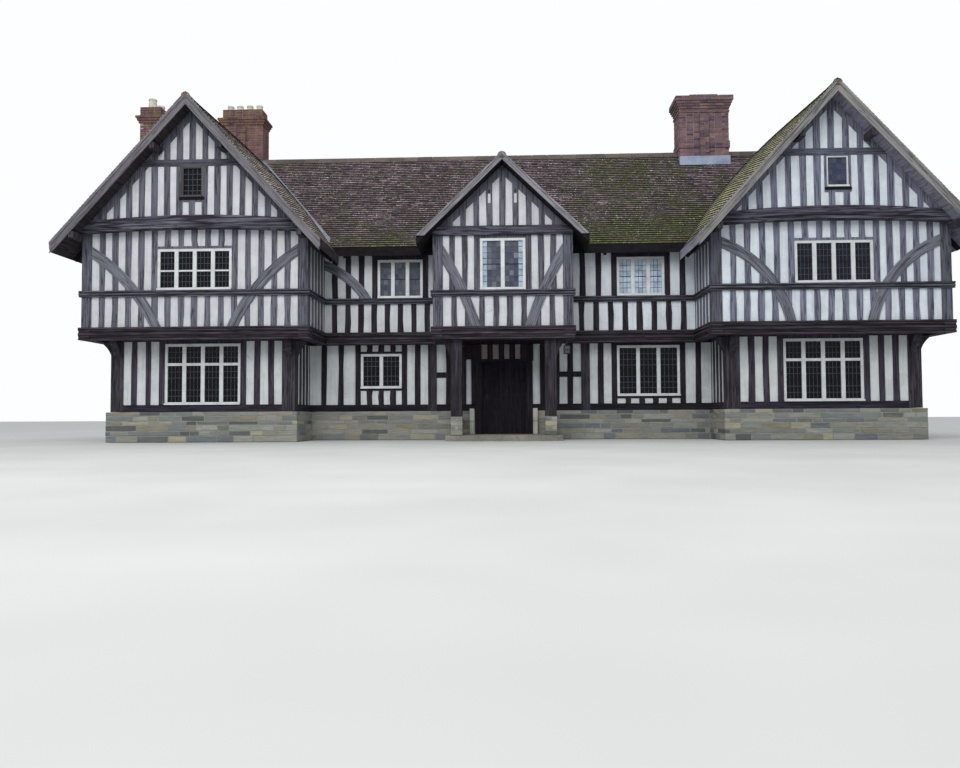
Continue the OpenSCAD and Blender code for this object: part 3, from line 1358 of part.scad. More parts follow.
// Lantern that hangs from the porch bressumer
lantern_x = porch_x + porch_post_span / 2 + 420;
lantern_y = porch_front + 130;
lantern_w = 160;
lantern_h = 210;
lantern_cap_h = 80;
lantern_rod_h = 110;
module porch_lantern() centred() color("#2b2f35") translate([lantern_x, lantern_y, bressumer_z]) {
    translate([0, 0, -lantern_rod_h - 1]) cylinder(r = 6, h = lantern_rod_h + 1);
    translate([0, 0, -lantern_rod_h - lantern_cap_h]) cylinder(r1 = 100, r2 = 15, h = lantern_cap_h);
    translate([-lantern_w / 2, -lantern_w / 2, -lantern_rod_h - lantern_cap_h - lantern_h])
        cube([lantern_w, lantern_w, lantern_h + 1]);
}

left_wing_plinth();
hall_plinth();
right_wing_plinth();
ground_floor();
porch_paving();
porch_bases();
ground_posts();
left_wing_ground_frame();
hall_ground_frame();
right_wing_ground_frame();
ground_infill();
wing_bressumers();
hall_bressumers();
porch_bressumer();
upper_floor();
upper_posts();
left_wing_upper_frame();
hall_upper_frame();
right_wing_upper_frame();
porch_upper_frame();
upper_infill();
mid_rails();
tie_beams();
gable_frames();
gable_infill();
attic_floors();
wall_plates();
ground_windows();
upper_windows();
attic_windows();
ground_glass();
upper_glass();
attic_glass();
door_frame();
front_door();
porch_posts();
hall_roof();
left_wing_roof();
right_wing_roof();
porch_roof();
ridge_tiles();
bargeboards();
purlin_ends();
right_chimney();
centre_chimney();
flank_chimney();
chimney_pots();
lead_flashing();
porch_lantern();
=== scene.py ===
"""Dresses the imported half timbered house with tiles, bricks, stones, leaded lights, oak and limewash."""
import logging
import math
from collections.abc import Callable, Sequence
from dataclasses import dataclass, field
from enum import Enum
from functools import cache
from typing import ClassVar

import bpy
import numpy as np
from mathutils import Matrix, Vector


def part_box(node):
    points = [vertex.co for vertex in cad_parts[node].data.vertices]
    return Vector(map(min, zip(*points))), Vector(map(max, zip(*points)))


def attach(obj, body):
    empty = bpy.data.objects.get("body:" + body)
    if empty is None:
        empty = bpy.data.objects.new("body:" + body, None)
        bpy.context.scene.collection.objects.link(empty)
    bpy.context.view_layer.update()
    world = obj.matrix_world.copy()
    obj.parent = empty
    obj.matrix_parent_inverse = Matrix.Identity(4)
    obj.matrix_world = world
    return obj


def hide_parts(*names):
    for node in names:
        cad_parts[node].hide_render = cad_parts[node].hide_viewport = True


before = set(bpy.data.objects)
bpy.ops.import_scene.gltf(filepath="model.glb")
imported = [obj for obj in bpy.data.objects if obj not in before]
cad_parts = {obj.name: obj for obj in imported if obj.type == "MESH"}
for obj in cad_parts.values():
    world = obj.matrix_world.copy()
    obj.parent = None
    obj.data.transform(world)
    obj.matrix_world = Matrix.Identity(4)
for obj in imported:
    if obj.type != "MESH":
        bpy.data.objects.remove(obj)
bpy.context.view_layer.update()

LOG = logging.getLogger("house")
HOUSE = "house"
DOOR = "front_door"
Piece = bpy.types.Object
Socket = bpy.types.NodeSocket
Material = bpy.types.Material


def linear(code: str) -> tuple[float, float, float, float]:
    """Turns an sRGB hex colour into the linear colour that a shader takes.

    Args:
        code: the colour as six hex digits after a hash sign.

    Returns:
        Linear red, green, blue and an alpha of 1.
    """
    parts = [int(code[i:i + 2], 16) / 255 for i in (1, 3, 5)]
    red, green, blue = (c / 12.92 if c <= 0.04045 else ((c + 0.055) / 1.055) ** 2.4 for c in parts)
    return red, green, blue, 1.0


@dataclass(frozen=True)
class HouseLines:
    """The house's main lines in metres, from the middle of the hall range and the wings' upper fronts."""

    middle_x: float = -0.15515
    middle_y: float = 4.031
    wing_x: float = 8.0
    wing_half: float = 2.93
    wing_ground_half: float = 2.44
    wing_ground_front: float = 0.6
    wing_rear: float = 8.4
    wing_eave: float = 3.4
    hall_front: float = 1.8
    hall_rear: float = 7.4
    hall_overhang: float = 0.43
    porch_x: float = -0.13
    porch_half: float = 1.81
    porch_front: float = 0.5
    porch_eave: float = 2.2
    porch_verge: float = 0.12
    gable_face: float = -0.2
    verge: float = -0.66
    rear_verge: float = 8.722
    board: float = 0.045
    slab: float = 0.16

    def at(self, x: float, y: float, z: float) -> Vector:
        """Point of the row frame for a point given from the hall range's middle."""
        return Vector((x - self.middle_x, y - self.middle_y, z))


LINES = HouseLines()


@dataclass(frozen=True)
class Roof:
    """Roof of two slopes: line, level and fall of its ridge, how far out its eaves lie, and which way it runs."""

    line: float
    ridge: float
    pitch: float
    eave: float
    along_y: bool = True

    @classmethod
    def over(cls, line: float, plate: float, pitch: float, half: float, eave: float, along_y: bool = True) -> "Roof":
        """Roof over a range, by the level of its wall plates' outer edges and half of its width."""
        return cls(line, plate + LINES.slab * math.sqrt(1 + pitch * pitch) + pitch * half, pitch, eave, along_y)

    @property
    def steep(self) -> float:
        """Length up a slope for each unit across."""
        return math.hypot(1, self.pitch)

    @property
    def along(self) -> Vector:
        """Way along the ridge."""
        return Vector((0, 1, 0) if self.along_y else (1, 0, 0))

    def up(self, side: int) -> Vector:
        """Way up the slope on one side of the ridge, -1 toward lower values and 1 toward higher ones."""
        return Vector((-side, 0, self.pitch) if self.along_y else (0, -side, self.pitch)).normalized()

    def turn(self, side: int) -> np.ndarray:
        """The slope's own axes on one side of the ridge, as columns: along, up and out."""
        along = self.along * math.copysign(1, self.along.cross(self.up(side)).z)
        return np.array([along, self.up(side), along.cross(self.up(side))]).T

    def at(self, across: float, along: float, drop: float = 0.0) -> Vector:
        """Point of the row frame by its place across and along the ridge and its depth under the slope's face."""
        place, level = self.line + across, self.ridge - self.pitch * abs(across) - drop
        return LINES.at(place, along, level) if self.along_y else LINES.at(along, place, level)

    def under(self, p: np.ndarray) -> np.ndarray:
        """How far points of the row frame lie below the slopes, above 0 where they are covered."""
        place = p[:, 0] + LINES.middle_x if self.along_y else p[:, 1] + LINES.middle_y
        return self.ridge - self.pitch * np.abs(place - self.line) - p[:, 2]


WINGS = {side: Roof.over(side * LINES.wing_x, plate=5.3, pitch=1.1, half=LINES.wing_half, eave=LINES.wing_eave)
         for side in (-1, 1)}
WING = WINGS[1]
HALL_HALF = (LINES.hall_rear - LINES.hall_front) / 2
HALL = Roof.over((LINES.hall_front + LINES.hall_rear) / 2, plate=5.46, pitch=1.08, half=HALL_HALF,
                 eave=HALL_HALF + LINES.hall_overhang, along_y=False)
PORCH = Roof.over(LINES.porch_x, plate=5.4, pitch=0.97, half=LINES.porch_half, eave=LINES.porch_eave)


class Side(Enum):
    """Side of the house that a wall looks to, with the way in from it along X and Y."""

    FRONT = (0, 1)
    REAR = (0, -1)
    LEFT = (1, 0)
    RIGHT = (-1, 0)

    @property
    def axis(self) -> int:
        """Axis that the wall runs along: 0 for X, 1 for Y."""
        return 0 if self.value[1] else 1

    @property
    def inward(self) -> int:
        """Which way along the other axis leads into the house."""
        return sum(self.value)

    @property
    def turn(self) -> np.ndarray:
        """The wall's own axes as columns: along, up and out."""
        out = -np.array([*self.value, 0.0])
        return np.array([np.cross([0, 0, 1.0], out), [0, 0, 1.0], out]).T


FLANKS = {-1: Side.LEFT, 1: Side.RIGHT}


@dataclass(frozen=True)
class Stack:
    """Plan, top and foot of one brick stack, in metres from the middle of the hall range."""

    x: float
    y: float
    w: float
    d: float
    top: float
    foot: float


STACKS = {
    "right_chimney": Stack(5.975, 4.6, 1.49, 0.8, 10.33, 8.0),
    "centre_chimney": Stack(-8.345, 4.85, 1.34, 0.64, 10.37, 7.43),
    "flank_chimney": Stack(-11.2653, 5.25, 0.67, 1.5, 10.48, 2.638),
}


class Grain(Enum):
    """Which way the fibres of a timber run."""

    UPRIGHT = "upright"
    LEVEL = "level"
    ALONG = "along the piece's own first axis"

    def stretch(self, across: float, along: float) -> tuple[float, float, float]:
        """Cycles for each metre along X, Y and Z, by those across the fibres and along them."""
        upright, level = self is Grain.UPRIGHT, self is Grain.LEVEL
        return across if upright else along, along if level else across, along if upright else across


Shade = tuple[str, str, tuple[tuple[float, float], ...]]


def groove_shade(half: float, *at: float) -> tuple[tuple[float, float], ...]:
    """Stops of a glaze that paints shade in a moulding's grooves, by half the shades' width and the grooves' levels."""
    return tuple(stop for level in at for stop in ((level - half, 0.0), (level, 1.0), (level + half, 0.0)))


class Recipe:
    """The node tree of one material, made a node at a time."""

    def __init__(self, name: str) -> None:
        """Starts a material with a principled shader.

        Args:
            name: what the real material and its finish are called.
        """
        self.material = bpy.data.materials.new(name)
        self.material.use_nodes = True
        self.tree = self.material.node_tree
        self.tree.nodes.clear()
        self.shader = self.add("ShaderNodeBsdfPrincipled")
        self.add("ShaderNodeOutputMaterial", {"Surface": self.shader.outputs["BSDF"]})
        self.place = self.add("ShaderNodeTexCoord").outputs["Object"]
        self.axes = self.add("ShaderNodeSeparateXYZ", {"Vector": self.place}).outputs

    def feed(self, node: bpy.types.Node, links: dict) -> None:
        """Links or sets a node's inputs.

        Args:
            node: the node.
            links: for each input, a socket that feeds it or its value.
        """
        for key, value in links.items():
            if isinstance(value, Socket):
                self.tree.links.new(value, node.inputs[key])
            else:
                node.inputs[key].default_value = value

    def add(self, kind: str, links: dict[str, object] | None = None, stops: Sequence[tuple] = (),
            **settings: object) -> bpy.types.Node:
        """Adds a node with its settings and links.

        Args:
            kind: Blender's name for the node.
            links: for each input, a socket that feeds it or its value.
            stops: places and colours of a colour ramp.
            settings: the node's own properties.

        Returns:
            The new node.
        """
        node = self.tree.nodes.new(kind)
        for key, value in settings.items():
            setattr(node, key, value)
        self.feed(node, links or {})
        for i, (at, colour) in enumerate(stops):
            stop = node.color_ramp.elements[i] if i < 2 else node.color_ramp.elements.new(at)
            stop.position = at
            stop.color = linear(colour) if isinstance(colour, str) else (colour, colour, colour, 1)
        return node

    def by(self, attribute: str, stops: Sequence[tuple]) -> Socket:
        """Colour or grey value of a ramp over an attribute that each laid copy carries."""
        mark = self.add("ShaderNodeAttribute", attribute_name=attribute).outputs["Fac"]
        return self.add("ShaderNodeValToRGB", {"Fac": mark}, stops=stops).outputs["Color"]

    def toned(self, tones: Sequence[str]) -> Socket:
        """Colour of each laid copy, in even steps from the first tone to the last."""
        return self.by("tone", [((i + 0.5) / len(tones), tone) for i, tone in enumerate(tones)])

    def mottle(self, stretch: float | tuple[float, float, float], stops: Sequence[tuple], detail: float = 4,
               shift: float = 0) -> Socket:
        """Cloudy pattern in the object's own coordinates, passed through a colour ramp.

        Args:
            stretch: cycles for each metre, alike on all axes or along X, Y and Z.
            stops: places and colours, or grey values, of the ramp.
            detail: how many finer layers the clouds have.
            shift: moves the pattern, so that two of them differ.

        Returns:
            The ramp's colour.
        """
        scale = stretch if isinstance(stretch, tuple) else (stretch,) * 3
        turn = self.add("ShaderNodeMapping", {"Vector": self.place, "Scale": scale,
                                              "Location": (shift, shift * 0.7, shift * 1.3)})
        cloud = self.add("ShaderNodeTexNoise", {"Vector": turn.outputs[0], "Scale": 1.0, "Detail": detail,
                                                "Roughness": 0.6})
        return self.add("ShaderNodeValToRGB", {"Fac": cloud.outputs["Fac"]}, stops=stops).outputs["Color"]

    def relief(self, stretch: float | tuple[float, float, float], detail: float = 4, shift: float = 0) -> Socket:
        """Clouds from black to white for a bump to follow."""
        return self.mottle(stretch, [(0.2, 0.0), (0.8, 1.0)], detail, shift)

    def band(self, axis: str, *stops: tuple[float, float]) -> Socket:
        """Grey value that follows one axis.

        Args:
            axis: X, Y or Z.
            stops: places in metres, in order, each with its value.

        Returns:
            The value at a point's place along the axis.
        """
        low, high = stops[0][0], stops[-1][0]
        run = self.add("ShaderNodeMapRange", {"Value": self.axes[axis], 1: low, 2: high})
        return self.add("ShaderNodeValToRGB", {"Fac": run.outputs[0]},
                        stops=[((at - low) / (high - low), grey) for at, grey in stops]).outputs["Color"]

    def glaze(self, colour: Socket, shades: Sequence[Shade]) -> Socket:
        """Lays glazes over a colour, each strong where one axis says.

        Args:
            colour: the colour below.
            shades: axis, colour and stops of each glaze.

        Returns:
            The glazed colour.
        """
        for axis, tint, stops in shades:
            colour = self.times(colour, tint, self.band(axis, *stops))
        return colour

    def over(self, below: Socket, above: Socket | str, mask: Socket | float,
             mode: str = "MIX") -> Socket:
        """Lays one colour, or a hex code, over another where the mask lets it show."""
        top = linear(above) if isinstance(above, str) else above
        return self.add("ShaderNodeMix", {0: mask, 6: below, 7: top}, data_type="RGBA", blend_type=mode).outputs[2]

    def times(self, below: Socket, above: Socket | str, mask: Socket | float = 1.0) -> Socket:
        """Multiplies one colour by another, as far as the mask says."""
        return self.over(below, above, mask, "MULTIPLY")

    def finish(self, colour: Socket, roughness: Socket | float,
               height: Socket, depth: float, **sockets: float) -> Material:
        """Feeds the shader.

        Args:
            colour: base colour.
            roughness: roughness, even or from a pattern.
            height: pattern that the bump follows.
            depth: height of the bump in metres.
            sockets: the shader's other inputs, with underscores for blanks.

        Returns:
            The finished material.
        """
        bump = self.add("ShaderNodeBump", {"Height": height, "Distance": depth, "Strength": 1.0})
        self.feed(self.shader, {"Base Color": colour, "Roughness": roughness, "Normal": bump.outputs["Normal"]})
        self.feed(self.shader, {key.replace("_", " "): value for key, value in sockets.items()})
        return self.material


@dataclass(frozen=True)
class Oak:
    """Hewn oak left to the weather: it gives long dark checks, a silver bloom, and a tone of its own to each timber."""

    name: str
    pale: str
    mid: str
    deep: str
    grain: Grain = Grain.UPRIGHT
    bloom: str = "#7d808f"
    bloomed: float = 0.4
    check: str = "#17151a"
    level: tuple[float, float] | None = None
    lined: float = 0.0
    gloss: float = 0.2
    shades: tuple[Shade, ...] = ()

    def fibres(self, r: Recipe, grain: Grain) -> tuple[Socket, Socket]:
        """Colour and height of the timber for one way of its fibres.

        Args:
            r: the material being made.
            grain: which way the fibres run.

        Returns:
            The colour and the height.
        """
        fibre = r.mottle(grain.stretch(34, 1.3), [(0.3, self.deep), (0.5, self.mid), (0.72, self.pale)], 6)
        timber = r.mottle(grain.stretch(3.3, 0.1), [(0.3, 0.7), (0.5, 1.0), (0.7, 1.22)], 2, 3.1)
        bloom = r.mottle(grain.stretch(9, 1.1), [(0.45, 0.0), (0.75, self.bloomed)], 5, 7.7)
        checks = r.mottle(grain.stretch(15, 0.55), [(0.455, 0.0), (0.49, 0.85), (0.5, 0.85), (0.535, 0.0)], 3, 1.9)
        colour = r.times(fibre, timber, 0.75)
        colour = r.over(r.over(colour, self.bloom, bloom), self.check, checks)
        if self.lined:
            lines = r.mottle(grain.stretch(8, 0.45), [(0.44, 0.0), (0.48, self.lined), (0.52, self.lined), (0.56, 0.0)],
                             1, 5.5)
            colour = r.over(colour, self.deep, lines)
        return colour, r.over(fibre, "#000000", checks)

    def build(self) -> Material:
        """Makes the material; fibres of 2 mm and checks of 5 mm are drawn coarser, or the picture would lose them."""
        r = Recipe(self.name)
        if self.grain is Grain.ALONG:
            r.place = r.add("ShaderNodeAttribute", attribute_name="grain").outputs["Vector"]
        colour, height = self.fibres(r, self.grain)
        if self.level:
            low, high = self.level
            lies = r.band("Z", (low - 0.02, 0.0), (low, 1.0), (high, 1.0), (high + 0.02, 0.0))
            level_colour, level_height = self.fibres(r, Grain.LEVEL)
            colour = r.over(colour, r.times(level_colour, "#cfcfd4"), lies)
            height = r.over(height, level_height, lies)
        colour = r.glaze(colour, self.shades)
        rough = r.mottle(7, [(0.3, 0.74), (0.7, 0.95)], 3)
        return r.finish(colour, rough, height, 0.007, Specular_IOR_Level=self.gloss)


@dataclass(frozen=True)
class Limewash:
    """Lime plaster brushed with limewash: it gives a cool chalky white with trowel waves, runs and hair cracks."""

    name: str
    light: str
    shade: str
    stain: str
    stained: float = 0.5
    shades: tuple[Shade, ...] = ()

    def build(self) -> Material:
        """Makes the material, with brush coats some 0.4 m across and runs 90 mm wide."""
        r = Recipe(self.name)
        coat = r.mottle(2.4, [(0.35, self.shade), (0.6, self.light)], 5)
        runs = r.mottle((11, 11, 0.7), [(0.5, 0.0), (0.78, self.stained)], 4, 5.3)
        spots = r.mottle(26, [(0.64, 0.0), (0.74, 0.3)], 3, 2.2)
        cell = r.add("ShaderNodeTexVoronoi", {"Vector": r.place, "Scale": 2.6}, feature="DISTANCE_TO_EDGE")
        crack = r.add("ShaderNodeValToRGB", {"Fac": cell.outputs["Distance"]}, stops=[(0.0, 0.3), (0.01, 0.0)])
        colour = r.over(r.over(coat, self.stain, runs), self.stain, spots)
        colour = r.glaze(r.over(colour, "#80817c", crack.outputs["Color"]), self.shades)
        trowel = r.relief((14, 14, 9), 6, 0.4)
        height = r.over(trowel, "#000000", crack.outputs["Color"])
        return r.finish(colour, 0.93, height, 0.006)


@dataclass(frozen=True)
class PlainTiles:
    """Hand made clay tiles, laid dry for centuries: they give thin dark courses of painted shade, moss in drifts and
    white lichen.
    """

    name: str
    tones: tuple[str, ...]
    moss: tuple[str, str]
    lichen: str
    drifts: tuple[tuple[str, tuple[tuple[float, float], ...]], ...]

    def build(self) -> Material:
        """Makes the material: grime and painted shade darken each tail and the strip under it; moss gathers in drifts.
        """
        r = Recipe(self.name)
        body = r.toned(self.tones)
        colour = r.times(body, r.mottle(17, [(0.38, 0.35), (0.62, 1.7)], 5), 0.9)
        colour = r.times(colour, r.mottle(1.5, [(0.36, 0.55), (0.66, 1.35)], 6, 2.3), 0.85)
        drift = r.add("ShaderNodeTexNoise", {"Vector": r.place, "Scale": 0.9, "Detail": 8.0, "Roughness": 0.75})
        gather = drift.outputs["Fac"]
        for axis, stops in self.drifts:
            gather = r.add("ShaderNodeMath", {0: gather, 1: r.band(axis, *stops)}, operation="ADD").outputs[0]
        fine = r.add("ShaderNodeTexNoise", {"Vector": r.place, "Scale": 14.0, "Detail": 4.0, "Roughness": 0.7})
        gather = r.add("ShaderNodeMath", {0: fine.outputs["Fac"], 1: 0.3, 2: gather}, operation="MULTIPLY_ADD")
        mask = r.add("ShaderNodeValToRGB", {"Fac": gather.outputs[0]}, stops=[(0.74, 0.0), (0.9, 0.9)]).outputs["Color"]
        green = r.mottle(9, [(0.35, self.moss[0]), (0.68, self.moss[1])], 4, 6.1)
        colour = r.over(colour, green, mask)
        patch = r.mottle(1.1, [(0.42, 0.25), (0.56, 1.0)], 3, 4.4)
        speck = r.mottle(17, [(0.625, 0.0), (0.675, 0.9)], 2, 8.2)
        colour = r.over(colour, self.lichen, r.times(speck, patch))
        # Dark tail and strip under the next tail with a lighter face between: painted course shade together with grime
        colour = r.times(colour, r.by("reach", [(0.0, 0.1), (0.08, 1.68), (0.34, 1.17), (0.58, 0.03)]))
        return r.finish(colour, 0.9, r.relief(50, 5, 1.1), 0.004)


@dataclass(frozen=True)
class Fired:
    """Bricks and ridge tiles, burnt in a clamp: each has its own tone, with lichen in patches and soot high up."""

    name: str
    tones: tuple[str, ...]
    moss: str
    mossed: float
    lichen: str
    lichened: float
    soot: float = 0.0
    soot_from: float = 9.7
    depth: float = 0.003

    def build(self) -> Material:
        """Makes the material, with lichen cushions as wide as a hand and specks of 30 mm."""
        r = Recipe(self.name)
        body = r.toned(self.tones)
        colour = r.times(body, r.mottle(45, [(0.3, 0.72), (0.7, 1.18)], 5), 0.8)
        colour = r.times(colour, r.mottle(2.2, [(0.35, 0.74), (0.65, 1.2)], 4, 2.3), 0.8)
        colour = r.over(colour, "#26201f", r.band("Z", (self.soot_from, 0.0), (self.soot_from + 0.4, self.soot)))
        cushion = r.mottle(5, [(0.44, 0.0), (0.6, self.mossed)], 4, 6.1)
        high = r.band("Z", (7.0, 0.5), (9.0, 0.25), (9.8, 1.0))
        colour = r.over(colour, self.moss, r.times(cushion, high))
        patch = r.mottle(1.3, [(0.45, 0.25), (0.62, 1.0)], 3, 4.4)
        speck = r.mottle(30, [(0.6, 0.0), (0.7, self.lichened)], 3, 8.2)
        colour = r.over(colour, self.lichen, r.times(speck, patch))
        return r.finish(colour, 0.9, r.relief(60, 5, 1.1), self.depth)


@dataclass(frozen=True)
class Mineral:
    """Stone, mortar, clay or lead in plain form: clouds of two tones under a third, with a grain that can be felt."""

    name: str
    light: str
    dark: str
    spot: str
    scale: float = 3.0
    grain: float = 40.0
    roughness: float = 0.9
    depth: float = 0.004
    metallic: float = 0.0
    spotted: float = 0.7

    def build(self) -> Material:
        """Makes the material, with spots a third as wide as its clouds."""
        r = Recipe(self.name)
        s = self.scale
        colour = r.mottle(s, [(0.35, self.dark), (0.65, self.light)], 6)
        spots = r.mottle(s * 3, [(0.55, 0.0), (0.72, self.spotted)], 4, 3.3)
        colour = r.over(colour, self.spot, spots)
        rough = r.mottle(s * 2, [(0.3, self.roughness * 0.85), (0.7, min(1.0, self.roughness * 1.06))])
        return r.finish(colour, rough, r.relief(self.grain, 5, 9.1), self.depth, Metallic=self.metallic)


@dataclass(frozen=True)
class Toned:
    """Pieces cut one by one from a mixed heap, such as quarry stone: a tone for each, with beds and pits in it."""

    name: str
    tones: tuple[str, ...]
    bed: float = 22.0
    depth: float = 0.006

    def build(self) -> Material:
        """Makes the material, with beds some 45 mm thick and iron stains as long as a hand."""
        r = Recipe(self.name)
        body = r.toned(self.tones)
        colour = r.times(body, r.mottle((3, 3, self.bed), [(0.3, 0.72), (0.7, 1.16)], 5), 0.85)
        colour = r.over(colour, "#a88d5c", r.mottle((5, 5, 9), [(0.6, 0.0), (0.78, 0.45)], 4, 2.6))
        colour = r.over(colour, "#5b6152", r.mottle(14, [(0.62, 0.0), (0.75, 0.5)], 3, 5.0))
        return r.finish(colour, 0.92, r.relief((35, 35, 50), 6, 1.4), self.depth)


@dataclass(frozen=True)
class Paint:
    """Linseed paint on oak window frames: it gives a soft eggshell white, chalked and a little yellow."""

    name: str
    light: str
    aged: str
    shades: tuple[Shade, ...] = ()

    def build(self) -> Material:
        """Makes the material, with flaked spots 15 mm wide."""
        r = Recipe(self.name)
        colour = r.mottle(4, [(0.35, self.aged), (0.6, self.light)], 5)
        flakes = r.mottle(38, [(0.68, 0.0), (0.72, 0.55)], 3, 2.9)
        colour = r.glaze(r.over(colour, "#8a8378", flakes), self.shades)
        return r.finish(colour, 0.5, r.relief(60, 3), 0.0012)


@dataclass(frozen=True)
class LeadedPane:
    """Old crown glass: dark, wavy and glossy, so that each quarry of a light catches the sky in its own way."""

    name: str
    tones: tuple[tuple[float, str], ...]

    def build(self) -> Material:
        """Makes the material, with waves 160 mm long in the glass."""
        r = Recipe(self.name)
        # The pale blue end of the tone ramp is a painted reflection of the sky
        body = r.by("tone", self.tones)
        haze = r.mottle(6, [(0.35, 0.7), (0.7, 1.25)], 3)
        waves = r.relief(6, 2, 0.9)
        dust = r.mottle(40, [(0.3, 0.05), (0.8, 0.16)], 3)
        return r.finish(r.times(body, haze, 0.8), dust, waves, 0.0005, IOR=1.52, Specular_IOR_Level=0.2)


# Stops along X of glazes that are full on the left and fade out toward the right: painted shade on the walls left of
# the right wing, and the left attic windows' dark frames
SHADE_FROM_LEFT = ((1.6, 1.0), (3.4, 0.0))
DARK_LEFT = ((-1.0, 1.0), (1.0, 0.0))
# Levels of the rail that the lower walls stand on
LOW_RAIL = (0.8, 0.98)
# Clouds, grain, roughness, depth, metal and spots of sheet lead, and of cames
LEAD = (3.0, 25.0, 0.6, 0.003, 0.2, 0.4)
THIN_LEAD = (8.0, 60.0, 0.6, 0.001, 0.2)

